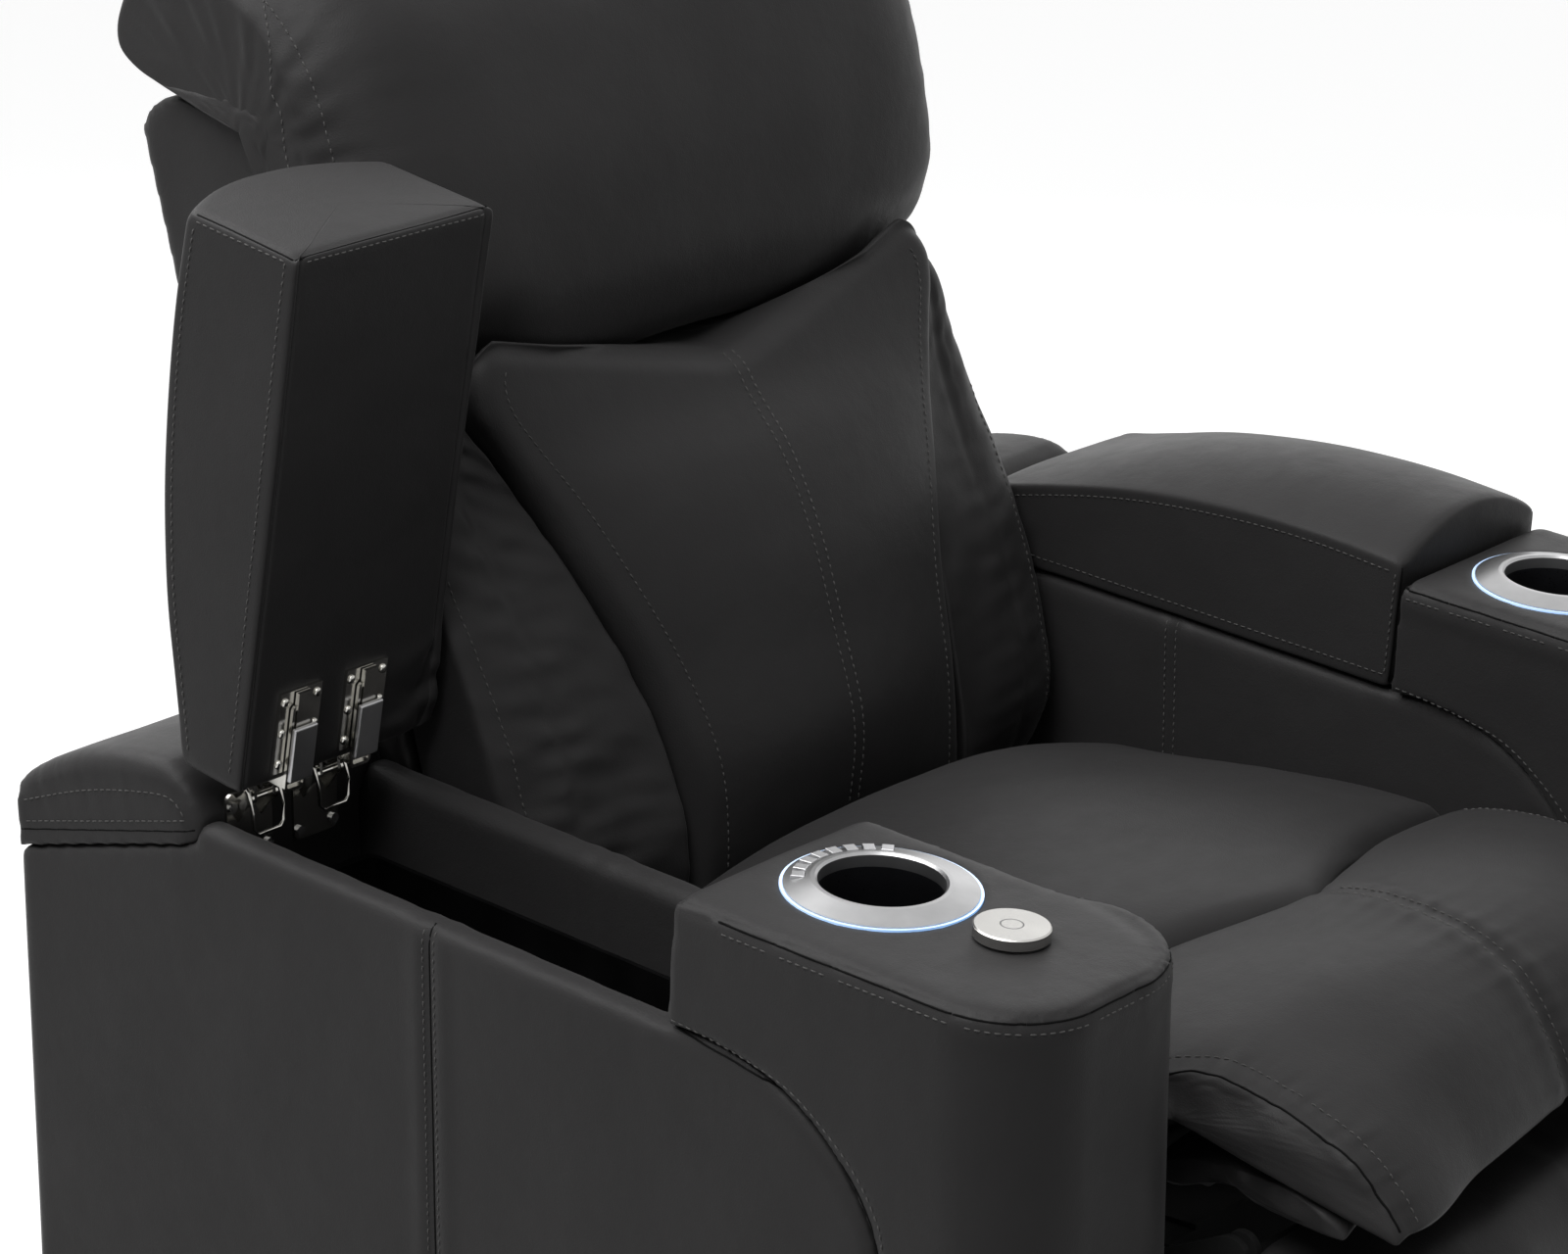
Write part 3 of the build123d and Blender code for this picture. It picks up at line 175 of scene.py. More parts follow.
def turned_material(name, color, centre, circle):
    """Metal turned on a lathe about an upright axis: fine rings whose grooves are painted darker, and one dark circle
    of the given radius painted as the shade of an engraved groove.
    """
    mat, tree, shader = new_material(name, color, 0.22, 1.0)
    vector = object_mapping(tree, Location=tuple(-c for c in centre))
    rings = wave_tex(tree, vector, 420.0, 0.4, wave_type="RINGS", rings_direction="Z")
    feed(shader, "Normal", bump(tree, rings, 0.00006, 0.8))
    flat = add_node(tree, "Mapping", {"Scale": (1, 1, 0)})
    feed(flat, "Vector", vector)
    radius = add_node(tree, "VectorMath", operation="LENGTH")
    feed(radius, 0, flat.outputs["Vector"])
    away = math_node(tree, "ABSOLUTE", math_node(tree, "SUBTRACT", radius.outputs["Value"], circle))
    # Painted shade: a near-black circle where an engraved groove lies, and ring grooves coloured 20% darker.
    mix = add_node(tree, "Mix", data_type="RGBA")
    mix.inputs[6].default_value = (0.12, 0.12, 0.12, 1)
    map_range(tree, away, mix, 0, From_Min=0.0003, From_Max=0.0006)
    feed(mix, 7, ramp(tree, rings, tuple(c * 0.8 for c in color), color))
    feed(shader, "Base Color", mix.outputs[2])
    shader.inputs["Anisotropic"].default_value = 0.85
    tangent = add_node(tree, "Tangent", direction_type="RADIAL", axis="Z")
    feed(shader, "Tangent", tangent.outputs["Tangent"])
    return mat


def relief(tree, shader, height, distance, strength, low, high):
    """Bump and colour from one pattern: its low parts are painted darker, as painted shade in the hollows."""
    feed(shader, "Normal", bump(tree, height, distance, strength))
    feed(shader, "Base Color", ramp(tree, height, low, high))


def thread_material():
    mat, tree, shader = new_material("thread_grey", (0.055, 0.054, 0.053), 0.7)
    # The thread's twist grooves are painted darker: painted shade.
    twist = wave_tex(tree, object_mapping(tree), 900.0)
    relief(tree, shader, twist, 0.0002, 0.6, (0.045, 0.044, 0.043), (0.075, 0.073, 0.071))
    return mat


def plastic_material(name, color, rough, grain=900.0, depth=0.00012, shine=0.4):
    mat, tree, shader = new_material(name, color, rough)
    vector = object_mapping(tree)
    speck = noise_tex(tree, vector, grain, 2.0)
    feed(shader, "Normal", bump(tree, speck, depth, 0.6))
    lift = tuple(c * 1.35 + 0.002 for c in color)
    feed(shader, "Base Color", ramp(tree, noise_tex(tree, vector, 24.0), color, lift))
    map_range(tree, speck, shader, "Roughness", To_Min=rough - 0.06, To_Max=rough + 0.08)
    shader.inputs["Specular IOR Level"].default_value = shine
    return mat


def metal_material(name, color, rough):
    """Finely blasted metal."""
    mat, tree, shader = new_material(name, color, rough, 1.0)
    lines = noise_tex(tree, object_mapping(tree, Scale=(900, 900, 900)), 1.0, 3.0)
    smear = noise_tex(tree, object_mapping(tree), 30.0)
    dull = tuple(c * 0.86 for c in color)
    feed(shader, "Base Color", ramp(tree, smear, dull, color, 0.35, 0.6))
    feed(shader, "Normal", bump(tree, lines, 0.00004, 0.35))
    map_range(tree, lines, shader, "Roughness", To_Min=rough * 0.75, To_Max=rough * 1.25)
    return mat


def fabric_material(name, dark, light):
    mat, tree, shader = new_material(name, dark, 0.85)
    vector = object_mapping(tree)
    warp, weft = [wave_tex(tree, vector, 500.0, 0.6, bands_direction=axis) for axis in ("X", "Z")]
    weave = math_node(tree, "MAXIMUM", warp, weft)
    # The gaps between the threads are painted darker: painted shade in the weave.
    relief(tree, shader, weave, 0.0003, 0.7, dark, light)
    return mat


def glow_material(name, color, strength):
    mat, tree, shader = new_material(name, (0.8, 0.85, 0.9), 0.35)
    drift = noise_tex(tree, object_mapping(tree), 40.0)
    feed(shader, "Emission Color", ramp(tree, drift, tuple(c * 0.85 for c in color), color))
    shader.inputs["Emission Strength"].default_value = strength
    return mat


# The accessory cap's axis and the radius of its dark circle, painted shade of an engraved groove, in metres
CAP_CENTRE, CAP_CIRCLE = (-0.351, -0.2833, 0.6), 0.0062
LEATHER = leather_material("charcoal_leather", (0.029, 0.0282, 0.0286), (0.035, 0.0341, 0.0345))
THREAD = thread_material()
TRAY = plastic_material("tray_plastic", (0.0022, 0.0022, 0.0023), 0.45, shine=0.03)
HOUSING = plastic_material("housing_plastic", (0.03, 0.03, 0.032), 0.5)
SATIN = metal_material("satin_metal", (0.42, 0.42, 0.425), 0.34)
LINER = metal_material("liner_metal", (0.10, 0.10, 0.11), 0.30)
KEYS = metal_material("key_metal", (0.50, 0.50, 0.51), 0.30)
BRUSHED = turned_material("turned_cap", (0.55, 0.54, 0.52), CAP_CENTRE, CAP_CIRCLE)
# Near-black for the tubes sunk into seams: painted shade of the seam gaps.
SEAM = plastic_material("seam_shadow", (0.004, 0.004, 0.004), 0.7, shine=0.05)
NICKEL = metal_material("nickel", (0.50, 0.49, 0.46), 0.17)
STEEL = metal_material("rod_steel", (0.5, 0.5, 0.5), 0.25)
PAINT = plastic_material("powder_coat", (0.018, 0.018, 0.018), 0.45, 1400.0, 0.0002)
CLOTH = fabric_material("dust_cloth", (0.012, 0.012, 0.012), (0.03, 0.03, 0.03))
GLOW = glow_material("ring_light", (0.22, 0.50, 1.0), 0.75)


# ---------------------------------------------------------------- mesh helpers
def link_object(name, data):
    obj = bpy.data.objects.new(name, data)
    bpy.context.scene.collection.objects.link(obj)
    return obj


def run_length(points):
    """Length along a polyline at each of its points."""
    return np.r_[0, np.cumsum(np.linalg.norm(np.diff(points, axis=0), axis=1))]


def add_object(name, verts, faces, material, body, smooth=True):
    """Mesh object from millimetre points."""
    mesh = bpy.data.meshes.new(name)
    mesh.from_pydata([tuple(c * MM for c in v) for v in verts], [], faces)
    mesh.validate()
    bm = bmesh.new()
    bm.from_mesh(mesh)
    bmesh.ops.recalc_face_normals(bm, faces=bm.faces)
    bm.to_mesh(mesh)
    bm.free()
    mesh.polygons.foreach_set("use_smooth", [smooth] * len(mesh.polygons))
    obj = link_object(name, mesh)
    mesh.materials.append(material)
    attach(obj, body)
    return obj


def smooth_curve(points, count, closed=False):
    """Points spread evenly along a smooth curve through the given ones."""
    p = np.array(points, float)
    n = len(p)
    runs = n if closed else n - 1
    out = []
    for i in range(runs):
        p1, p2 = p[i], p[(i + 1) % n]
        p0 = p[(i - 1) % n] if closed or i > 0 else 2 * p1 - p2
        p3 = p[(i + 2) % n] if closed or i < runs - 1 else 2 * p2 - p1
        for t in np.linspace(0, 1, 20, endpoint=False):
            out.append(0.5 * (2 * p1 + (p2 - p0) * t + (2 * p0 - 5 * p1 + 4 * p2 - p3) * t * t
                              + (3 * p1 - p0 - 3 * p2 + p3) * t ** 3))
    out.append(p[0] if closed else p[-1])
    out = np.array(out)
    along = run_length(out)
    where = np.linspace(0, along[-1], count + (1 if closed else 0))
    result = np.stack([np.interp(where, along, out[:, k]) for k in range(out.shape[1])], 1)
    return result[:-1] if closed else result


def smooth_value(table, x, column):
    """Smoothly interpolated value of a table's column at x, its first column."""
    xs = np.array([row[0] for row in table], float)
    ys = np.array([row[column] for row in table], float)
    slopes = np.gradient(ys, xs)
    i = int(np.clip(np.searchsorted(xs, x) - 1, 0, len(xs) - 2))
    h = xs[i + 1] - xs[i]
    t = min(max((x - xs[i]) / h, 0.0), 1.0)
    return ((2 * t ** 3 - 3 * t ** 2 + 1) * ys[i] + (t ** 3 - 2 * t ** 2 + t) * h * slopes[i]
            + (-2 * t ** 3 + 3 * t ** 2) * ys[i + 1] + (t ** 3 - t ** 2) * h * slopes[i + 1])


def skin(name, rings, body, bulge):
    """Closed leather form through rings of equal count.

    Its ends are closed by shrinking rings, or, where bulge is None, across from each ring's first half to its
    second."""
    rings = [np.array(r, float) for r in rings]
    first, last = rings[0], rings[-1]

    shrink = (0.96, 0.9, 0.83, 0.75, 0.66, 0.56, 0.45, 0.33, 0.2, 0.08)

    def closing(ring, toward, amount):
        centre = ring.mean(0)
        axis = centre - toward
        axis = axis / max(np.linalg.norm(axis), 1e-9)
        return [centre + (ring - centre) * f + axis * amount * (1 - f * f) for f in shrink]

    if bulge is not None:
        front = closing(first, rings[1].mean(0), bulge[0])[::-1]
        back = closing(last, rings[-2].mean(0), bulge[1])
        rings = front + rings + back
    n = len(rings[0])
    verts = [tuple(p) for ring in rings for p in ring]
    faces = ring_faces(len(rings), n)
    last_ring = (len(rings) - 1) * n
    if bulge is None:
        for k in range(n // 2 - 1):
            faces.append((k + 1, k, n - 1 - k, n - 2 - k))
            faces.append((last_ring + k, last_ring + k + 1, last_ring + n - 2 - k, last_ring + n - 1 - k))
        return add_object(name, verts, faces, LEATHER, body)
    verts += [tuple(rings[0].mean(0)), tuple(rings[-1].mean(0))]
    base, tip = len(verts) - 2, len(verts) - 1
    for k in range(n):
        faces.append((base, (k + 1) % n, k))
        faces.append((tip, last_ring + k, last_ring + (k + 1) % n))
    return add_object(name, verts, faces, LEATHER, body)


def ripple(points, length, seed, octaves=3):
    """Smooth noise from -1 to 1 with the given wavelength, at an array of points."""
    rng = np.random.default_rng(seed)
    total = np.zeros(len(points))
    weight = 1.0
    for octave in range(octaves):
        for _ in range(5):
            direction = rng.normal(size=3)
            direction /= np.linalg.norm(direction)
            phase = rng.uniform(0, 2 * math.pi)
            stretch = rng.uniform(0.75, 1.35)
            total += weight * np.sin(points @ direction * (2 * math.pi / (length * stretch)) + phase) / 5
        weight *= 0.5
        length *= 0.5
    return total


def push(obj, amount):
    """Moves an object's vertices along their normals. amount takes points and normals, in millimetres."""
    mesh = obj.data
    co, normals = np.zeros((2, len(mesh.vertices) * 3))
    mesh.vertices.foreach_get("co", co)
    mesh.vertices.foreach_get("normal", normals)
    co, normals = co.reshape(-1, 3) / MM, normals.reshape(-1, 3)
    mesh.vertices.foreach_set("co", ((co + normals * amount(co, normals)[:, None]) * MM).ravel())
    mesh.update()


def ring_faces(rings, count, start=0):
    """Quads between successive rings of vertices, numbered from start."""
    return [(start + i * count + k, start + i * count + (k + 1) % count,
             start + (i + 1) * count + (k + 1) % count, start + (i + 1) * count + k)
            for i in range(rings - 1) for k in range(count)]


def finish_soft(obj, shape, node):
    """Shapes a soft piece, rounds it off and puts it in the place of its CAD node."""
    push(obj, shape)
    rounder = obj.modifiers.new("subdivision", "SUBSURF")
    rounder.levels = rounder.render_levels = 1
    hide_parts(node)


def distance_to_path(points, path):
    """Distance of each point to a polyline, and how far along it the nearest point lies."""
    path = np.array(path, float)
    best = np.full(len(points), 1e9)
    where = np.zeros(len(points))
    run = 0.0
    for a, b in zip(path[:-1], path[1:]):
        d = b - a
        length = np.linalg.norm(d)
        t = np.clip(((points - a) @ d) / length ** 2, 0, 1)
        gap = np.linalg.norm(points - (a + t[:, None] * d), axis=1)
        closer = gap < best
        best[closer] = gap[closer]
        where[closer] = (run + t * length)[closer]
        run += length
    return best, where


def ridge(values, place, width):
    """Rounded welt at a distance either side of zero."""
    return np.exp(-((np.abs(values) - place) / width) ** 2)


def facing(normals, axis, gain):
    """1 where a face looks toward an axis (front is -Y, up is +Z), falling to 0 where it turns away."""
    return np.clip(normals @ np.array(axis, float) * gain, 0, 1)


def near_end(s, width):
    """0 along a piece, rising to 1 at either end of its run from -1 to 1."""
    return max(0.0, 1 - (1 - abs(s)) / width)


def seam_shape(points, path, depth, width, pleats=0.0, reach=30.0, seed=1, pitch=9.0):
    """Valley along a seam, with short gathers running away from it."""
    gap, along = distance_to_path(points, path)
    shape = -depth * np.exp(-(gap / width) ** 2)
    if pleats:
        rng = np.random.default_rng(seed)
        phases = rng.uniform(0, 2 * math.pi, 4)
        folds = sum(np.sin(along / (pitch * k) * 2 * math.pi + phases[i]) / (i + 1.5)
                    for i, k in enumerate((1.0, 1.7, 2.6, 0.62)))
        shape = shape + pleats * folds * np.exp(-(gap / reach)) * (1 - np.exp(-(gap / (width * 0.8)) ** 2))
    return shape


def upholster(name, node, voxel, rounds, body, shape):
    """Leather skin for a CAD node: a softened copy with its own seams."""
    source = NODES[node]
    mesh = source.data.copy()
    obj = link_object(name, mesh)
    weld = obj.modifiers.new("weld", "WELD")
    weld.merge_threshold = 0.00005
    remesh = obj.modifiers.new("remesh", "REMESH")
    remesh.mode = "VOXEL"
    remesh.voxel_size = voxel * MM
    soften = obj.modifiers.new("soften", "SMOOTH")
    soften.factor = 0.5
    soften.iterations = rounds
    depsgraph = bpy.context.evaluated_depsgraph_get()
    result = bpy.data.meshes.new_from_object(obj.evaluated_get(depsgraph))
    obj.modifiers.clear()
    obj.data = result
    result.materials.clear()
    result.materials.append(LEATHER)
    result.polygons.foreach_set("use_smooth", [True] * len(result.polygons))
    bpy.data.meshes.remove(mesh)
    push(obj, shape)
    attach(obj, body)
    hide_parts(node)
    return obj


def tube(name, path, radius, body, material, sides):
    """Round bar along a polyline."""
    path = np.array(path, float)
    last = len(path) - 1
    verts = []
    for i, p in enumerate(path):
        t = path[min(i + 1, last)] - path[max(i - 1, 0)]
        t /= np.linalg.norm(t)
        side = np.cross(t, (0.0, 0.0, 1.0))
        if np.linalg.norm(side) < 0.2:
            side = np.cross(t, (1.0, 0.0, 0.0))
        side /= np.linalg.norm(side)
        other = np.cross(t, side)
        for angle in np.arange(sides) * 2 * math.pi / sides:
            verts.append(tuple(p + radius * (side * math.cos(angle) + other * math.sin(angle))))
    faces = ring_faces(last + 1, sides) + [tuple(range(sides)), tuple(range(last * sides, (last + 1) * sides))]
    add_object(name, verts, faces, material, body)


# ---------------------------------------------------------------- stitching
STITCH_PITCH, STITCH_LENGTH, STITCH_RADIUS = 5.4, 3.9, 0.45
# Rings of one stitch: place along it, thickness, and height above the surface
STITCH_RINGS = [(0.0, 0.35, -0.25), (0.18, 1.0, 0.1), (0.5, 1.12, 0.28), (0.82, 1.0, 0.1), (1.0, 0.35, -0.25)]


def surface_of(objects):
    verts, faces = [], []
    depsgraph = bpy.context.evaluated_depsgraph_get()
    for obj in objects:
        done = obj.evaluated_get(depsgraph)
        mesh = done.to_mesh()
        start = len(verts)
        verts += [v.co / MM for v in mesh.vertices]
        faces += [tuple(start + i for i in f.vertices) for f in mesh.polygons]
        done.to_mesh_clear()
    return BVHTree.FromPolygons(verts, faces)


def path_point(path, along, s):
    return Vector([float(np.interp(s, along, path[:, k])) for k in range(3)])


def stitch(name, objects, body, lines):
    """Rows of thread on a surface. Each line is (path, direction to look along, any offsets across)."""
    tree = surface_of(objects)
    verts, faces = [], []
    for path, look, *offsets in lines:
        path = np.array(path, float)
        along = run_length(path)
        look = Vector(look).normalized()
        for offset in offsets or (0.0,):
            hits = []
            for s in np.arange(0, along[-1], 1.3):
                across = (path_point(path, along, s + 2) - path_point(path, along, s - 2)).cross(look)
                if across.length < 1e-6:
                    continue
                p = path_point(path, along, s) + across.normalized() * offset
                found, normal, _, _ = tree.ray_cast(p - look * 60, look, 140)
                if found is not None:
                    hits.append((found, normal if normal.dot(look) < 0 else -normal))
            if len(hits) < 4:
                continue
            steps = np.r_[0, np.cumsum([(b[0] - a[0]).length for a, b in zip(hits[:-1], hits[1:])])]
            s = STITCH_PITCH / 2
            index = 0
            while s + STITCH_LENGTH < steps[-1]:
                ends = []
                for target in (s, s + STITCH_LENGTH):
                    index = min(max(int(np.searchsorted(steps, target)), 1), len(hits) - 1)
                    span = max(steps[index] - steps[index - 1], 1e-6)
                    t = (target - steps[index - 1]) / span
                    ends.append((hits[index - 1][0].lerp(hits[index][0], t), hits[index][1]))
                if (ends[1][0] - ends[0][0]).length < STITCH_LENGTH * 1.6:
                    add_stitch(verts, faces, ends)
                s += STITCH_PITCH
    if verts:
        add_object(name, verts, faces, THREAD, body)


def add_stitch(verts, faces, ends):
    (a, na), (b, nb) = ends
    tangent = (b - a).normalized()
    normal = (na + nb).normalized()
    side = tangent.cross(normal).normalized()
    start = len(verts)
    sides = 6
    for t, size, lift in STITCH_RINGS:
        centre = a.lerp(b, t) + normal * lift
        for k in range(sides):
            angle = 2 * math.pi * k / sides
            p = centre + (side * math.cos(angle) + normal * math.sin(angle)) * STITCH_RADIUS * size
            verts.append(tuple(p))
    faces += ring_faces(len(STITCH_RINGS), sides, start)
    faces += [tuple(range(start, start + sides)), tuple(range(len(verts) - sides, len(verts)))]


def seam_shade_line(name, objects, body, lines, radius=0.75, sink=0.25):
    """Thin dark tube along a sewn joint, sunk into the leather: painted shade of the seam's gap. Each line is (path,
    direction to look along).
    """
    tree = surface_of(objects)
    for index, (path, look) in enumerate(lines):
        path = np.array(path, float)
        along = run_length(path)
        look = Vector(look).normalized()
        found = []
        for s in np.arange(0, along[-1], 3.0):
            p = path_point(path, along, s)
            place, _, _, _ = tree.ray_cast(p - look * 40, look, 90)
            if place is not None and (not found or 0.5 < (place - Vector(found[-1])).length < 14):
                found.append(tuple(place + look * sink))
        if len(found) > 3:
            tube(f"{name}_{index + 1}", found, radius, body, SEAM, 6)


# ---------------------------------------------------------------- arms
def seam_curve(x, count=24):
    """The curved seam between a console's post and an arm panel, at distance x from the middle."""
    return smooth_curve([(x, *SEAM_START), (x, -140, 542), (x, -174, 535), (x, *SEAM_MID), (x, -240, 497),
                         (x, -257, 474), (x, *SEAM_END), (x, -263.5, 380), (x, -263, 30)], count * 3)


ARM_SEAM_Y = 57.0


def panel_shape(x):
    seam = [(x, ARM_SEAM_Y, 20), (x, ARM_SEAM_Y, 620)]
    edge = seam_curve(x)

    def shape(co, normals):
        out = ripple(co, 160, 3, 2) * 0.7 * np.abs(normals[:, 0])
        out += seam_shape(co, seam, 1.5, 3.4)
        out += ridge(co[:, 1] - ARM_SEAM_Y, 9, 6) * np.abs(normals[:, 0])
        gap, _ = distance_to_path(co, edge)
        return out - 1.6 * np.exp(-(gap / 5) ** 2)
    return shape


def console_outline(side, shrink=0.0, count=120):
    """Plan outline of the console's front, from its inner back corner round to the outer one."""
    pts = [(275, -118), (275, -180), (275, -240), (276.5, -275), (285, -313), (305, -345), (345, -361.5), (368, -362),
           (390, -362), (420, -350), (437, -325), (443, -300), (443, -260), (443, -180), (443, -118)]
    curve = smooth_curve([(side * x, y) for x, y in pts], count)
    if shrink:
        centre = np.array([side * 359.0, -235.0])
        away = curve - centre
        curve = curve - away / np.linalg.norm(away, axis=1)[:, None] * shrink
    return curve


def console_shape(side):
    rim = [(x, y, console_z(y) - 5.0) for x, y in console_outline(side)]
    edges = [seam_curve(side * ARM_OUT), seam_curve(side * 278.0)]

    def shape(co, normals):
        out = ripple(co, 130, 5, 2) * 0.5
        out += seam_shape(co, rim, 1.4, 2.6, 0.16, 14.0, 4, 9.0)
        drop = console_z(0) + co[:, 1] * math.tan(CONSOLE_SLOPE) - co[:, 2]
        flat = np.abs(normals[:, 2]) < 0.6
        out += np.where(flat, 0.8 * np.exp(-((drop - 15) / 7) ** 2), 0)
        gap, _ = distance_to_path(co, rim)
        out -= np.where(normals[:, 2] > 0.6, 2.4 * np.exp(-(gap / 9) ** 2), 0)
        for edge in edges:
            gap, _ = distance_to_path(co, edge)
            out -= 1.5 * np.exp(-(gap / 5) ** 2)
        hole = np.hypot(np.abs(co[:, 0]) - CUP_X, co[:, 1] - CUP_Y)
        out = np.where(normals[:, 1] > 0.6, np.minimum(out, 0) - 0.5, out)
        return np.where((hole < 62) & (drop < 90), 0.0, out)
    return shape


def block_shape(side):
    hem = [(side * ARM_OUT, 391, 540), (side * ARM_OUT, 241, 573)]
    cap = [(side * ARM_OUT, 392, 564), (side * ARM_OUT, 330, 585), (side * ARM_OUT, 269, 596),
           (side * ARM_OUT, 251, 590), (side * ARM_OUT, 243, 572)]

    def shape(co, normals):
        out = ripple(co, 110, 8, 2) * 0.7
        outer = np.abs(normals[:, 0]) > 0.5
        return out + np.where(outer, seam_shape(co, hem, 0.9, 3.0), 0) + seam_shape(co, cap, 0.8, 3.0, 0.4, 14, 2, 8)
    return shape


def make_arm(name, side):
    outer = upholster(f"{name}_outer_leather", f"{name}_arm_outer_panel", 4.2, 4, "base",
                      panel_shape(side * ARM_OUT))
    inner = upholster(f"{name}_inner_leather", f"{name}_arm_inner_panel", 4.2, 4, "base",
                      panel_shape(side * ARM_IN))
    block = upholster(f"{name}_rear_leather", f"{name}_arm_rear_block", 3.6, 5, "base", block_shape(side))
    console = upholster(f"{name}_console_leather", f"{name}_cup_console", 3.2, 3, "base", console_shape(side))
    centre = (side * 359.0, -235.0)
    lines, shade_paths = [], []
    # Rows 10.5 mm below the top carry thread; rows 5.5 mm below carry a dark tube, painted shade of the seam's gap.
    for drop, target in ((10.5, lines), (5.5, shade_paths)):
        rim = [(x, y, console_z(y) - drop) for x, y in console_outline(side, 2.0)]
        for i in range(0, len(rim) - 8, 8):
            piece = rim[i:i + 9]
            mid = piece[4]
            look = (centre[0] - mid[0], centre[1] - mid[1], 0)
            target.append((piece, look))
    seam_shade_line(f"{name}_console_joint", [console], "base", shade_paths)
    stitch(f"{name}_console_stitches", [console], "base", lines)
    outward = (-side, 0, 0)
    inward = (side, 0, 0)
    curve = seam_curve(side * ARM_OUT)

    def cut(x, margin, low=30):
        return [(side * x, ARM_SEAM_Y, wall_z(ARM_SEAM_Y) - margin), (side * x, ARM_SEAM_Y, low)]

    # Dark tubes along the panel seams and the block's hem: painted shade of the seam gaps.
    seam_shade_line(f"{name}_panel_joint", [outer, console], "base", [(curve, outward), (cut(ARM_OUT, 2), outward)])
    seam_shade_line(f"{name}_block_joint", [block], "base",
              [([(side * ARM_OUT, 391, 540), (side * ARM_OUT, 243, 573)], outward)], 0.6)
    stitch(f"{name}_outer_stitches", [outer, console], "base",
           [(cut(ARM_OUT, 3), outward, -4.2, 4.2), (curve, outward, -6.0 * side)])
    stitch(f"{name}_inner_stitches", [inner, console], "base",
           [(cut(ARM_IN, 3, 300), inward, -4.2, 4.2), (seam_curve(side * ARM_IN)[:50], inward, 6.0 * side)])
    stitch(f"{name}_rear_stitches", [block], "base",
           [([(side * ARM_OUT, 388, 546), (side * ARM_OUT, 246, 579)], outward),
            (smooth_curve([(side * ARM_OUT, 389, 559), (side * ARM_OUT, 330, 579), (side * ARM_OUT, 272, 590),
                           (side * ARM_OUT, 255, 586), (side * ARM_OUT, 249, 576)], 24), outward)])


for arm, side in SIDES:
    make_arm(arm, side)

# ---------------------------------------------------------------- lids
# u along the lid, height of the side above the underside, height of the crown's middle
LID_STATIONS = [(LID_START, 46.0, 48.0), (32, 51.5, 57.0), (55.0, 58.0, 66.0), (120.0, 74.0, 89.0),
                (200.0, 85.0, 104.0), (280.0, 88.0, 110.0), (LID_END, 85.0, 109.0)]
LID_HALF = (ARM_OUT - ARM_IN) / 2


def lid_ring(height, crown, inset):
    """Cross-section of a lid: across, and up from the underside, with a welt along each lower edge."""
    w = LID_HALF - inset
    low, high = inset * 0.6, height - inset * 0.5
    half = [(0.0, low), (w * 0.3, low), (w * 0.6, low), (w - 14, low), (w - 9.5, low), (w - 7.2, low + 0.5),
            (w - 6.0, low + 2.3), (w - 4.8, low + 0.4), (w - 2.8, low - 0.5), (w - 1.1, low - 0.2),
            (w - 0.2, low + 1.2), (w, low + 3.5), (w + 0.2, low + 9)]
    half += [(w + 0.4 * math.sin(math.pi * t), low + (high - low) * t) for t in (0.2, 0.35, 0.5, 0.65, 0.8)]
    half += [(w, high - 8), (w, high - 3), (w - 0.4, high - 1), (w - 1.8, high + 0.6)]
    for t in (0.94, 0.86, 0.74, 0.6, 0.45, 0.3, 0.15, 0.0):
        half.append((t * w, high + (crown - height) * (1 - t ** 2.1) - inset * 0.3))
    return half + [(-x, y) for x, y in half[-2:0:-1]]


def lid_point(opening, along, up, across):
    """Point of a lid opened by so many degrees: along from its hinge, up from its underside, and across."""
    angle = math.radians(180 + 5 - opening)
    u = np.array([0, math.cos(angle), math.sin(angle)])
    v = np.array([0, math.sin(angle), -math.cos(angle)])
    return np.array([0, *LID_PIVOT]) + u * along + v * (up + LID_FLOOR) + np.array([across, 0, 0])


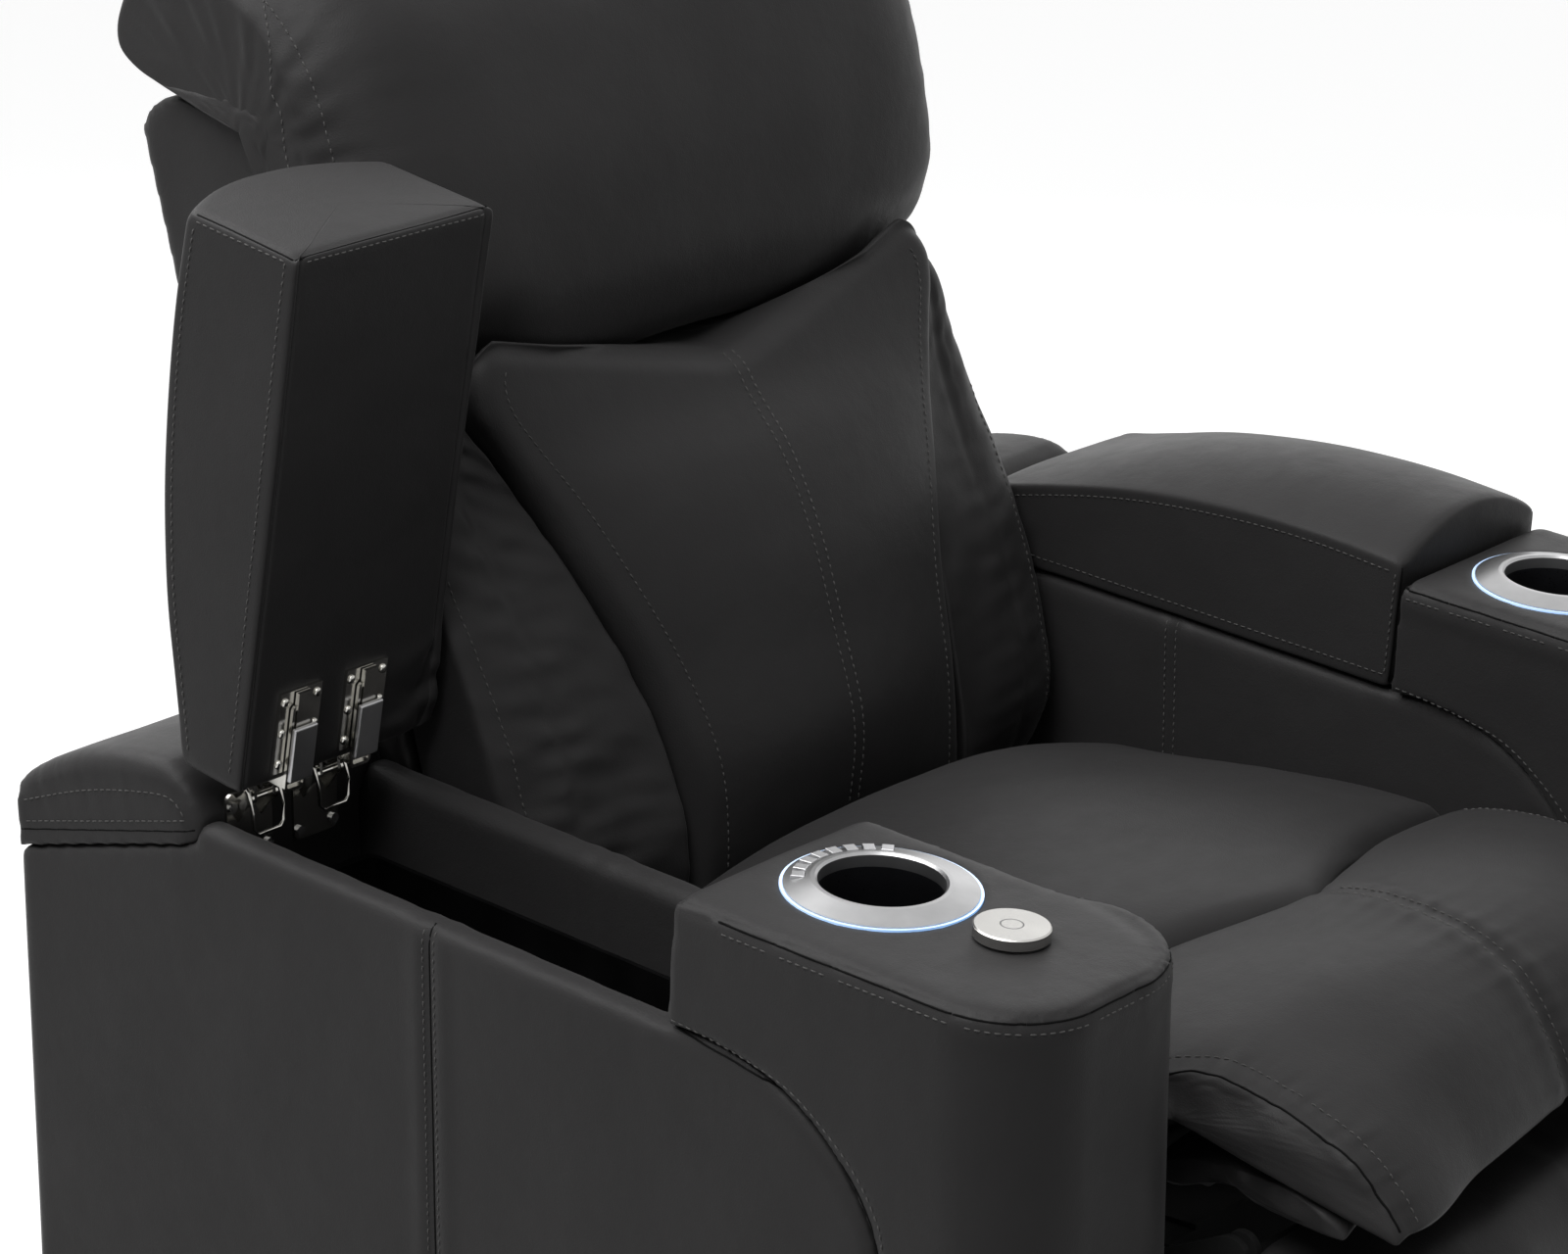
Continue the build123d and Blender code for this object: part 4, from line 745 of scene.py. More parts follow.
def make_lid(name, side, opening):
    centre = side * (ARM_OUT + ARM_IN) / 2

    def at(u, up, across):
        return lid_point(opening, u, up, centre + across)

    stations = [(LID_START + 0.6, 6.0), (LID_START + 1.6, 3.4), (LID_START + 3.6, 1.5), (LID_START + 7, 0.4)]
    stations += [(u, 0.0) for u in np.linspace(LID_START + 12, LID_END - 14, 54)]
    stations += [(LID_END - 9, 0.0), (LID_END - 6, 0.1), (LID_END - 3.6, 0.5), (LID_END - 1.8, 1.3),
                 (LID_END - 0.7, 2.4), (LID_END - 0.1, 3.8)]
    rings = []
    for u, inset in stations:
        height = smooth_value(LID_STATIONS, u, 1)
        crown = smooth_value(LID_STATIONS, u, 2)
        rings.append([at(u, up, across) for across, up in lid_ring(height, crown, inset)])
    obj = skin(f"{name}_lid_leather", rings, f"{name}_lid_assembly", (0.0, 2.2))

    us = np.linspace(LID_START + 10, LID_END - 3, 30)
    end_height = LID_STATIONS[-1][1]
    rise = LID_STATIONS[-1][2] - end_height
    rim = LID_HALF - 3
    welt = [at(LID_END + 0.4, 3.0, across) for across in (-rim, 0, rim)]
    caps = [[at(LID_END + 0.4, up, across) for up in (3, 40, end_height - 2)] for across in (-rim, rim)]
    crown = [at(LID_END - 3, end_height + rise * (1 - abs(t) ** 2.1) - 1, t * LID_HALF) for t in np.linspace(-1, 1, 13)]
    tuck = at(LID_START + 26, 0, -side * (LID_HALF - 16))
    folds = [[at(LID_START + a, b, -side * (LID_HALF - c)) for a, b, c in line] for line in
             (((4, 0, 30), (22, 0, 22), (44, 0, 18)), ((6, 0, 10), (24, 0, 12), (52, 0, 8)),
              ((18, 0, 34), (30, 0, 20), (34, 0, 2)), ((10, 6, 0), (26, 14, 0), (50, 18, 0)))]

    def shape(co, normals):
        out = ripple(co, 130, 11, 2) * 0.7
        for i, path in enumerate([welt] + caps):
            out += seam_shape(co, path, 1.5, 2.0, 0.2, 10.0, 20 + i, 8.0)
        out += seam_shape(co, crown, 0.6, 3.0, 0.25, 16.0, 25, 9.0)
        near = np.exp(-(np.linalg.norm(co - tuck, axis=1) / 30) ** 2)
        out += ripple(co, 26, 27, 2) * 2.6 * near + 2.0 * near
        for i, path in enumerate(folds):
            out += seam_shape(co, path, 4.2, 3.0, 1.2, 10.0, 30 + i, 7.0)
        return out
    finish_soft(obj, shape, f"{name}_lid")
    lines = []
    for across, look in ((-LID_HALF, (1, 0, 0)), (LID_HALF, (-1, 0, 0))):
        lines += [([at(u, 8.0, across) for u in us], look),
                  ([at(u, smooth_value(LID_STATIONS, u, 1) - 7.0, across) for u in us], look),
                  ([at(LID_END - 4.5, up, across) for up in (6, 40, end_height - 6)], look)]
    under = tuple(at(0, 1, 0) - at(0, 0, 0))
    back = tuple(at(0, 0, 0) - at(1, 0, 0))
    lines.append(([at(LID_END - 4.0, 0, across) for across in (-LID_HALF + 8, 0, LID_HALF - 8)], under))
    # Dark tubes along the end's joints: painted shade of the seam gaps.
    shade_paths = [([at(LID_END, 3.0, across) for across in (-rim, 0, rim)], back)]
    for across in (-LID_HALF + 2.5, LID_HALF - 2.5):
        shade_paths.append(([at(LID_END, up, across) for up in (4, 40, end_height - 3)], back))
    seam_shade_line(f"{name}_lid_joint", [obj], f"{name}_lid_assembly", shade_paths, 0.7)
    stitch(f"{name}_lid_stitches", [obj], f"{name}_lid_assembly", lines)


for arm, side in SIDES:
    make_lid(arm, side, OPENING[arm])

# ---------------------------------------------------------------- hinge furniture
def bevelled(obj, width, segments):
    bevel = obj.modifiers.new("soft_edges", "BEVEL")
    bevel.width, bevel.segments = width, segments
    return bevel


def cover_plate(name, corners, body):
    """Small bevelled plate from its eight corners, low four then high four."""
    faces = [(0, 1, 2, 3), (4, 7, 6, 5), (0, 4, 5, 1), (1, 5, 6, 2), (2, 6, 7, 3), (3, 7, 4, 0)]
    bevelled(add_object(name, corners, faces, SATIN, body, smooth=False), 0.0012, 3)


def dome(name, centre, out, radius, rise, body):
    """Domed screw or rivet head standing on a face that points along out."""
    centre, out = np.array(centre), np.array(out, float)
    out /= np.linalg.norm(out)
    side = np.cross(out, (1.0, 0.3, 0.2))
    side /= np.linalg.norm(side)
    other = np.cross(out, side)
    rows = [(1.0, 0.0), (1.0, 0.35), (0.86, 0.7), (0.6, 0.9), (0.3, 0.98)]
    count = 14
    verts = [tuple(centre + radius * r * (side * math.cos(a) + other * math.sin(a)) + out * rise * h)
             for r, h in rows for a in np.linspace(0, 2 * math.pi, count, endpoint=False)]
    last = len(verts) - count
    verts.append(tuple(centre + out * rise))
    faces = ring_faces(len(rows), count) + [tuple(range(count))]
    faces += [(last + k, last + (k + 1) % count, last + count) for k in range(count)]
    add_object(name, verts, faces, NICKEL, body)


def hinge_furniture(arm, side, opening):
    body = f"{arm}_lid_assembly"
    out = lid_point(opening, 0, -1, 0) - lid_point(opening, 0, 0, 0)
    for index, x in enumerate((345.0, 400.0)):
        tag = f"{arm}_hinge_{index + 1}"
        mid = side * x
        corners = [tuple(lid_point(opening, LID_START + u, up, mid + dx)) for up in (-6.2, -9.6)
                   for u, dx in ((3, -9.5), (3, 9.5), (38, 9.5), (38, -9.5))]
        cover_plate(f"{tag}_cover", corners, body)
        for u in (14, 34, 54):
            for mark, dx in (("a", -13.2), ("b", 13.2)):
                dome(f"{tag}_rivet_{u}_{mark}", lid_point(opening, LID_START + u, -2.1, mid + dx), out, 2.9, 1.9, body)
        leg = [(12.4, 231, 598), (12.4, 226, 592), (12.4, 223.5, 580), (12.4, 223, 570), (9, 222.8, 566.5)]
        wire = [(mid - x, y, z) for x, y, z in leg] + [(mid + x, y, z) for x, y, z in leg[::-1]]
        tube(f"{tag}_bail", wire, 1.1, "base", NICKEL, 8)


for arm, side in SIDES:
    hinge_furniture(arm, side, OPENING[arm])

# ---------------------------------------------------------------- back cushions
# Height, half width, how far the edge stands before the back plane, and y of the face's middle
LUMBAR = [(446.0, 136.0, 78.0, 112.0), (500.0, 135.0, 92.0, 103.0), (551.0, 137.0, 98.0, 99.0),
          (614.0, 149.0, 94.0, 116.0), (676.0, 172.0, 86.0, 136.0), (725.0, 193.0, 78.0, 161.0),
          (758.0, 211.0, 74.0, 188.0), (782.0, 223.0, 72.0, 201.0), (798.0, 223.0, 72.0, 209.0),
          (812.0, 213.0, 72.0, 215.0), (824.0, 196.0, 72.0, 219.0)]
LUMBAR_LOW, LUMBAR_TOP = 446.5, 823.0
HEAD_PIVOT = (262.0, 822.0)


def lumbar_top(x):
    """Height of the cushion's upper lip, lowest in the middle under the pillow."""
    return 779.0 + 45.0 * min(math.hypot(x, 12.0) - 12.0, 196.0) / 196.0


def lumbar_rear(z, x):
    """Back of the lumbar cushion, hollowed where the pillow turns above it."""
    sweep = 45.5 - 9.0 * min(max((abs(x) - 150.0) / 40.0, 0.0), 1.0)
    rear = back_plane(z) - 1
    if abs(z - HEAD_PIVOT[1]) < sweep:
        rear = min(rear, HEAD_PIVOT[0] - math.sqrt(sweep ** 2 - (z - HEAD_PIVOT[1]) ** 2))
    return rear


def lumbar_front(z, x):
    """Depth of the lumbar cushion's face."""
    half, edge, middle = (smooth_value(LUMBAR, z, k) for k in (1, 2, 3))
    return middle + (back_plane(z) - edge - middle) * min(abs(x) / half, 1.0) ** 2.3


def lumbar_edge(side, inset):
    path = []
    for z in np.linspace(450, 806, 46):
        half = smooth_value(LUMBAR, z, 1) - inset
        path.append((side * half, lumbar_front(z, half), z))
    return path


def make_lumbar():
    rings = []
    for level in np.r_[447, 449, 452, np.linspace(456, LUMBAR_TOP - 12, 92), 811 + 4 * np.array([1, 1.75, 2.4, 2.75])]:
        half = smooth_value(LUMBAR, level, 1)
        inset = max(0.0, 9 - (level - 447)) ** 2 / 14 + max(0.0, 16 - (LUMBAR_TOP - level)) ** 2 / 18

        def at(x, back=None, level=level, inset=inset):
            z = LUMBAR_LOW + (level - LUMBAR_LOW) * (lumbar_top(x) - LUMBAR_LOW) / (LUMBAR_TOP - LUMBAR_LOW)
            rear = lumbar_rear(z, x)
            front = lumbar_front(z, x) + inset
            return (x, rear if back is None else min(front + back, rear - 3), z)

        ring = [at(x, 0.0) for x in np.linspace(-half + 15, half - 15, 88)]
        flank = [at(half - 15 + 15 * math.sin(a), 15 - 15 * math.cos(a)) for a in np.radians((15, 32, 48, 64, 80))]
        flank += [at(half + 0.3, 24.0), at(half, 40.0)]
        ring = [(-x, y, z) for x, y, z in flank][::-1] + ring + flank
        rings.append(ring + [at(x) for x in np.linspace(half - 2, 2 - half, len(ring))])
    obj = skin("lumbar_leather", rings, "back", None)
    paths = [lumbar_edge(side, 19) for side in (-1, 1)]
    middle = [(0, lumbar_front(z, 0), z) for z in np.linspace(450, 793, 44)]

    def shape(co, normals):
        front = facing(normals, (0, -1, 0), 1.6)
        out = ripple(co, 120, 31, 2) * 1.3 * front
        for i, path in enumerate(paths):
            out += seam_shape(co, path, 1.8, 2.8, 1.9, 24.0, 40 + i, 8.0) * front
        out += seam_shape(co, middle, 2.0, 3.4) * front
        return out + 1.2 * front * ridge(co[:, 0], 11, 7)
    finish_soft(obj, shape, "lumbar_cushion")
    stitch("lumbar_stitches", [obj], "back",
           [(middle, (0, 1, 0), -4.5, 4.5)] + [(lumbar_edge(side, 23), (0, 1, 0)) for side in (-1, 1)])


# Height, x of the inner and outer edge, y of the inner edge and of the face
BOLSTER_LOW, BOLSTER_TOP = 450, 790
BOLSTER = [(450.0, 140.5, 262.0, 128.0, 146.0), (499.0, 139.5, 268.0, 126.0, 132.0),
           (559.0, 142.5, 270.0, 139.0, 144.0), (620.0, 155.0, 270.0, 162.0, 166.0),
           (676.0, 176.5, 270.0, 187.0, 194.0), (725.0, 197.5, 270.0, 210.0, 219.0),
           (775.0, 226.5, 269.0, 232.0, 243.0), (790.0, 235.0, 266.0, 242.0, 256.0)]


def bolster_at(z, s):
    """Point of a bolster's face; s runs from its inner edge to its outer one."""
    near, far, start, face = (smooth_value(BOLSTER, z, k) for k in (1, 2, 3, 4))
    if s < 0.6:
        y = face - 3 + (start - 3 - face) * (1 - s / 0.6) ** 2
    else:
        y = face - 2 + 16 * ((s - 0.6) / 0.4) ** 2
    return near + (far - near) * s, y


def bolster_line(side, places):
    """Path on a bolster's face through (height, s) pairs."""
    points = [(z, bolster_at(z, s)) for z, s in places]
    return [(side * x, y, z) for z, (x, y) in points]


def make_bolster(name, side):
    rings = []
    for z in np.r_[451, 453, 456, np.linspace(461, 779, 56), 783, 786, 788.5]:
        near, far = smooth_value(BOLSTER, z, 1), smooth_value(BOLSTER, z, 2)
        inset = max(0.0, 10 - min(z - BOLSTER_LOW, BOLSTER_TOP - z)) ** 2 / 8
        rear = back_plane(z) - 1
        pts = [(x, y + inset, z) for x, y, z in bolster_line(side, [(z, s) for s in np.linspace(0, 1, 30)])]
        far_y, near_y = bolster_at(z, 1)[1], bolster_at(z, 0)[1]
        pts += [(side * far, far_y + (rear - far_y) * t, z) for t in (0.3, 0.65, 0.95)]
        pts += [(side * (far + (near - far) * t), rear, z) for t in (0.1, 0.4, 0.7, 0.9)]
        pts += [(side * near, rear + (near_y - rear) * t, z) for t in (0.05, 0.35, 0.7)]
        rings.append(smooth_curve(pts, 70, True))
    obj = skin(f"{name}_bolster_leather", rings, "back", (4.0, 2.0))
    seam = bolster_line(side, [(z, 0.62 - max(z - 600, 0) / 170 * 0.2) for z in np.linspace(456, 770, 40)])
    rim = bolster_line(side, [(z, 0.9) for z in np.linspace(470, 700, 30)])
    strength = 2.0 if side < 0 else 1.0

    def shape(co, normals):
        front = facing(normals, (0, -1, 0), 1.6)
        out = ripple(co, 70, 51, 2) * 1.3 * front
        out += seam_shape(co, seam, 1.6, 4.5, 1.4 * strength, 24.0, 60, 9.0) * front
        return out + ripple(co * np.array([0.35, 0.35, 1.0]), 26, 55, 2) * 0.8 * strength * front
    finish_soft(obj, shape, f"{name}_back_bolster")
    stitch(f"{name}_bolster_stitches", [obj], "back", [(rim, (0, 1, 0))])


make_lumbar()
for arm, side in SIDES:
    make_bolster(arm, side)

# ---------------------------------------------------------------- headrest
# Side-view outline of the pillow, in its middle and at its ends
HEAD_MIDDLE = [(231.5, 795), (225.8, 812), (221.5, 850), (228, 905), (247, 962), (275, 1018), (315, 1055), (362, 1072),
               (408, 1073), (446, 1060), (465, 1034), (463, 1006), (450, 981), (420, 964.5), (379, 962.5), (328, 961),
               (318, 925), (303, 870), (291, 817), (284, 797), (269.6, 782.2), (254.7, 782.2), (241.5, 787.4)]
HEAD_ENDS = [(281, 807), (277, 824), (277, 850), (283, 892), (292, 938), (306, 980), (330, 1012), (358, 1029),
             (391, 1034), (419, 1030), (439, 1018), (448, 1002), (446, 984), (419, 968), (379, 964), (328, 961),
             (318, 925), (303, 870), (291, 824), (290, 816), (288, 811), (286, 808), (283, 807)]
HEAD_HALF = 288.0
# How far the lower edge rises, by distance from the middle
HEAD_RISE = [(0.0, 0.0), (190.0, 0.0), (240.0, 8.0), (264.0, 14.0), (288.0, 16.0)]


def head_section(x, count=110):
    """Outline at a distance from the middle. Its lower edge rises from the middle to the sides."""
    u = min(abs(x) / HEAD_HALF, 1.0)
    t = 0.1 * u ** 2 + 0.9 * u ** 10
    rise = smooth_value(HEAD_RISE, abs(x), 1)
    near = 1 - 0.2 * min(max((abs(x) - 150) / 40, 0.0), 1.0)
    pts = []
    for a, b in zip(HEAD_MIDDLE, HEAD_ENDS):
        y, z = a[0] * (1 - t) + b[0] * t, a[1] * (1 - t) + b[1] * t
        if z < HEAD_PIVOT[1]:
            y, z = HEAD_PIVOT[0] + (y - HEAD_PIVOT[0]) * near, HEAD_PIVOT[1] + (z - HEAD_PIVOT[1]) * near
        pts.append((y, z + rise * min(max((862 - z) / 50, 0.0), 1.0)))
    return smooth_curve(pts, count, True)


def make_headrest():
    xs = np.r_[np.linspace(-284, -240, 14), np.linspace(-233, 233, 60), np.linspace(240, 284, 14)]
    rings = [[(x, y, z) for y, z in head_section(x * HEAD_HALF / 284)] for x in xs]
    obj = skin("headrest_leather", rings, "headrest", (3.5, 3.5))
    edge = [(y, z) for y, z in head_section(278) if y < 400 and z > 815][:60]
    rim = [(y - 1, z + 1) for y, z in head_section(268) if y < 330 and z > 860]

    def shape(co, normals):
        out = ripple(co, 170, 71, 2) * 1.8
        end = np.exp(-((HEAD_HALF - np.abs(co[:, 0])) / 34))
        rng = np.random.default_rng(3)
        turn = np.arctan2(co[:, 2] - 930, co[:, 1] - 330)
        folds = sum(np.sin(turn * k + p) for k, p in zip((31, 47, 19), rng.uniform(0, 6, 3))) / 3
        out += folds * end * 1.5 * (np.abs(co[:, 0]) < 286)
        for seed, side in ((80, -1), (81, 1)):
            out += seam_shape(co, [(side * 279.0, y, z) for y, z in edge], 1.6, 3.4, 0.8, 18.0, seed, 9.0)
        return out * np.clip((co[:, 2] - 815) / 60, 0.05, 1)
    finish_soft(obj, shape, "headrest_pillow")
    lines = [([(side * 279.0, y, z) for y, z in rim], (-0.35 * side, 0.66, -0.66)) for side in (-1, 1)]
    stitch("headrest_stitches", [obj], "headrest", lines)


make_headrest()
upholster("back_shell_leather", "back_shell", 4.5, 3, "back", lambda co, n: ripple(co, 150, 91, 2) * 0.8)

# ---------------------------------------------------------------- seat
# (y, z) of the seat's top along its sides and its middle, and (x, y, z) of the crease before it
SEAT_SIDE = [(-247.0, 478.0), (-168.0, 482.0), (-121.0, 481.0), (-61.0, 477.0), (10.0, 472.0), (67.0, 467.0),
             (96.0, 464.0)]
SEAT_MIDDLE = [(-247.0, 524.0), (-160.0, 526.0), (-60.0, 524.0), (40.0, 517.0), (96.0, 512.0)]
CREASE = [(0.0, -246.0, 524.0), (18.0, -242.0, 523.5), (60.0, -226.5, 518.5), (120.0, -205.5, 508.0),
          (200.0, -186.0, 494.5), (270.0, -169.0, 481.5)]


def crease_y(x):
    """Depth of the crease between seat and front roll."""
    return smooth_value(CREASE, abs(x), 1)


def seat_y(x, t):
    """Depth on the seat at a share of the way from its crease to its rear edge."""
    front = crease_y(x) + 1.5
    return front + (SEAT_REAR - front) * t


def seat_top(x, y):
    side, middle = smooth_value(SEAT_SIDE, y, 1), smooth_value(SEAT_MIDDLE, y, 1)
    t = min(abs(x) / SEAT_HALF, 1.0)
    open_top = side + (middle - side) * (1 - t ** 2.4)
    share = math.exp(-max(y - crease_y(x), 0.0) / 26.0)
    return open_top + (smooth_value(CREASE, abs(x), 2) - open_top) * share


def make_seat():
    rings = []
    for t in np.r_[0, 0.006, 0.014, 0.026, np.linspace(0.045, 0.97, 46), 0.985, 0.993, 1.0]:
        ring = []
        edge = min(t, 1 - t)
        drop = (9.0 if t < 0.5 else 16.0) * max(0.0, 1 - edge / 0.05) ** 2
        for x in np.linspace(-SEAT_HALF + 5, SEAT_HALF - 5, 72):
            y = seat_y(x, t)
            ring.append((x, y, seat_top(x, y) - drop))
        y = seat_y(SEAT_HALF, t)
        top = smooth_value(SEAT_SIDE, y, 1) - drop
        flank = [(0.3, top - 4), (0.5, top - 16), (1.5, (top + SEAT_UNDER) / 2), (-1.5, 400), (-14, SEAT_UNDER)]
        ring += [(SEAT_HALF + dx, y, z) for dx, z in flank]
        ring += [(x, seat_y(x, t), SEAT_UNDER) for x in (200, 70, -70, -200)]
        ring += [(-SEAT_HALF - dx, y, z) for dx, z in flank[::-1]]
        rings.append(ring)
    obj = skin("seat_leather", rings, "base", (0.0, 0.0))

    def shape(co, normals):
        up = facing(normals, (0, 0, 1), 1.5)
        out = ripple(co, 210, 101, 2) * 1.6 * up
        return out + ripple(co * np.array([0.5, 1, 1]), 45, 103, 2) * 0.5 * up
    finish_soft(obj, shape, "seat_cushion")


# Side-view lines of the front roll's outside behind its crease: x from the middle, then depth and height
ROLL_LINES = [
    (0.0, [(-247, 521), (-262, 528), (-300, 532), (-349, 526), (-388, 506), (-410, 474), (-421, 452), (-424, 438)]),
    (120.0, [(-206, 506), (-225, 515), (-280, 526), (-340, 525), (-398, 503), (-426, 474), (-438, 452), (-441, 438)]),
    (228.0, [(-179, 487), (-205, 498), (-262, 507), (-330, 503), (-405, 484), (-438, 463), (-453, 446), (-456, 438)]),
    (268.0, [(-170, 479), (-196, 489), (-240, 495), (-300, 491), (-350, 487), (-400, 475), (-430, 452), (-436, 438)]),
]
ROLL_CURVES = [(x, smooth_curve(line, 201)) for x, line in ROLL_LINES]


def roll_half(t):
    """Half width of the roll, from the crease to its lower edge."""
    return 268.0 - 41.0 / (1 + math.exp(-(t - 0.42) / 0.035))


def roll_point(s, t):
    """Point on the roll's outside; s runs from -1 to 1 across, t from the crease to the lower edge."""
    x = s * roll_half(t)
    index = int(round(t * 200))
    table_y = [(place, curve[index][0]) for place, curve in ROLL_CURVES]
    table_z = [(place, curve[index][1]) for place, curve in ROLL_CURVES]
    return np.array([x, smooth_value(table_y, abs(x), 1), smooth_value(table_z, abs(x), 1)])


def make_roll():
    rings = []
    for s in np.r_[-1, -0.994, -0.98, np.linspace(-0.96, 0.96, 78), 0.98, 0.994, 1]:
        edge = near_end(s, 0.035)
        outside = [roll_point(s, t) for t in np.linspace(0, 1, 72)]
        tangents = np.gradient(np.array(outside), axis=0)
        inside = []
        for p, d in zip(outside, tangents):
            normal = np.array([0, d[2], -d[1]])
            normal /= max(np.linalg.norm(normal), 1e-6)
            if normal[2] < 0 and p[2] > 495 or normal[1] > 0 and p[1] < -380:
                normal = -normal
            inside.append(p - normal * 21.0 * (1 - 0.5 * edge))
        sink = 5.0 * edge ** 2
        outer = [p + np.array([0, 0.4 * sink, -sink]) for p in outside]
        rings.append(outer + inside[::-1][2:-2])
    obj = skin("front_roll_leather", rings, "base", (1.5, 1.5))
    middle = [roll_point(0, t) for t in np.linspace(0.05, 0.98, 50)]
    rims = [[roll_point(s, t) for t in np.linspace(0.03, 0.99, 60)] for s in (-0.955, 0.955)]

    def shape(co, normals):
        out = ripple(co, 150, 111, 2) * 1.3
        out += seam_shape(co, middle, 3.0, 4.6, 0.9, 26.0, 115, 14.0)
        out += 1.2 * ridge(co[:, 0], 12, 8)
        for i, path in enumerate(rims):
            out += seam_shape(co, path, 2.4, 3.0, 1.3, 14.0, 120 + i, 8.0)
        end = np.clip(np.abs(normals[:, 0]) * 2 - 0.9, 0, 1) * (np.abs(co[:, 0]) > 215)
        return out + end * ripple(co * np.array([1, 1, 0.7]), 34, 126, 2) * 3.0
    finish_soft(obj, shape, "seat_front_roll")
    lip = [[roll_point(s, t) for t in np.linspace(0.3, 0.99, 44)] for s in (-0.985, 0.985)]
    # Dark tubes along the roll's end seams: painted shade of the seam gaps.
    seam_shade_line("front_roll_seam_shade", [obj], "base", [(path[:18], (0, 0.3, -1)) for path in lip]
              + [(path[17:], (0, 1, -0.4)) for path in lip], 0.8)
    ends = []
    for path in rims:
        inner = [p - np.array([math.copysign(6.5, p[0]), 0, 0]) for p in path]
        ends.append((inner[2:40], (0, 0.3, -1)))
        ends.append((inner[39:], (0, 1, -0.4)))
    stitch("front_roll_stitches", [obj], "base",
           [(middle[:30], (0, 0, -1), -5.0, 5.0), (middle[29:], (0, 1, -0.3), -5.0, 5.0)] + ends)


# (y, z) of the pad's face under the roll, in its middle and at its sides
UNDER_HALF = 233
UNDER_MIDDLE = [(-296, 466), (-335, 487), (-372, 480), (-396, 458), (-404, 438)]
UNDER_SIDE = [(-298, 452), (-335, 462), (-385, 460), (-420, 448), (-429, 438)]
UNDER_REAR = [(-366, 437), (-352, 445), (-330, 440), (-294, 432)]


def make_underpad():
    a, b = smooth_curve(UNDER_MIDDLE, 44), smooth_curve(UNDER_SIDE, 44)
    rings = []
    for s in np.r_[-1, -0.985, -0.96, np.linspace(-0.93, 0.93, 50), 0.96, 0.985, 1]:
        blend = abs(s) ** 2.2
        edge = near_end(s, 0.07)
        outer = [(s * UNDER_HALF, p[0] * (1 - blend) + q[0] * blend + 4 * edge ** 2,
                  p[1] * (1 - blend) + q[1] * blend - 2 - 6 * edge ** 2) for p, q in zip(a, b)]
        inner = [(s * UNDER_HALF, y, z) for y, z in smooth_curve(UNDER_REAR, 16)]
        rings.append(outer + inner)
    obj = skin("underpad_leather", rings, "base", (1.0, 1.0))

    def shape(co, normals):
        end = np.clip((np.abs(co[:, 0]) - 196) / 25, 0, 1)
        return ripple(co * np.array([1, 0.4, 0.4]), 34, 131, 3) * 1.5 + end * ripple(co, 30, 133, 3) * 2.6
    finish_soft(obj, shape, "seat_front_underpad")


make_seat()
make_roll()
make_underpad()

# ---------------------------------------------------------------- footrest pad
FOOT_HALF, FOOT_REAR = 244, -367


def make_foot_pad():
    rings = []
    for s in np.r_[-1, -0.99, -0.97, np.linspace(-0.94, 0.94, 60), 0.97, 0.99, 1]:
        edge = near_end(s, 0.08)
        lobe = 9.0 * math.sin(math.pi * min(abs(s), 1)) ** 2
        deep = 88 + lobe - 26 * edge ** 2
        top, low = 407 - 6 * edge ** 2, 123 + 6 * edge ** 2
        rear, face = FOOT_REAR, FOOT_REAR + 1
        pts = [(rear, low), (rear, 200), (rear, 300), (rear, top), (rear - deep * 0.35, top - 1),
               (rear - deep * 0.72, top - 10), (face - deep * 0.92, top - 40), (face - deep, 265),
               (face - deep * 0.92, low + 40), (rear - deep * 0.7, low + 9), (rear - deep * 0.35, low + 1)]
        rings.append([(s * FOOT_HALF, y, z) for y, z in smooth_curve(pts, 72, True)])
    obj = skin("footrest_leather", rings, "footrest_panel", (1.0, 1.0))
    middle = [(0, -458, z) for z in np.linspace(135, 395, 20)]

    def shape(co, normals):
        welts = 1.2 * ridge(co[:, 0], 13, 8) - 4.0 * ridge(co[:, 0], 0, 5)
        return ripple(co, 120, 141, 2) * 1.2 + welts * facing(normals, (0, -1, 0), 1.5)
    finish_soft(obj, shape, "footrest_pad")
    stitch("footrest_stitches", [obj], "footrest_panel", [(middle, (0, 1, 0), -5.0, 5.0)])


make_foot_pad()

# ---------------------------------------------------------------- CAD pieces that stay
def paint(material, *names):
    for name in names:
        obj = NODES[name]
        obj.data.materials.clear()
        obj.data.materials.append(material)
        bevel = bevelled(obj, 0.0005, 2)
        bevel.limit_method = "ANGLE"
        bevel.harden_normals = True


for arm, side in SIDES:
    paint(TRAY, f"{arm}_storage_tray")
    paint(SATIN, f"{arm}_cup_ring")
    paint(LINER, f"{arm}_cup_liner")
    paint(GLOW, f"{arm}_cup_light_ring")
    paint(NICKEL, f"{arm}_hinge_fixed_leaves", f"{arm}_hinge_links", f"{arm}_hinge_lid_leaves")
paint(STEEL, "hinge_screws")
paint(BRUSHED, "accessory_cap")
paint(SATIN, "accessory_socket")
paint(KEYS, *[f"button_{i + 1}" for i in range(8)])
paint(HOUSING, "recline_actuator_housing", "footrest_actuator_housing", "headrest_actuator_housing")
paint(STEEL, "recline_actuator_rod", "footrest_actuator_rod", "headrest_actuator_rod")
paint(PAINT, "base_frame", "seat_frame", "back_frame", "headrest_bracket", "footrest_main_links",
      "footrest_carrier_links", "footrest_guide_links")
paint(TRAY, "glide_feet")
paint(CLOTH, "rear_valance", "footrest_board")

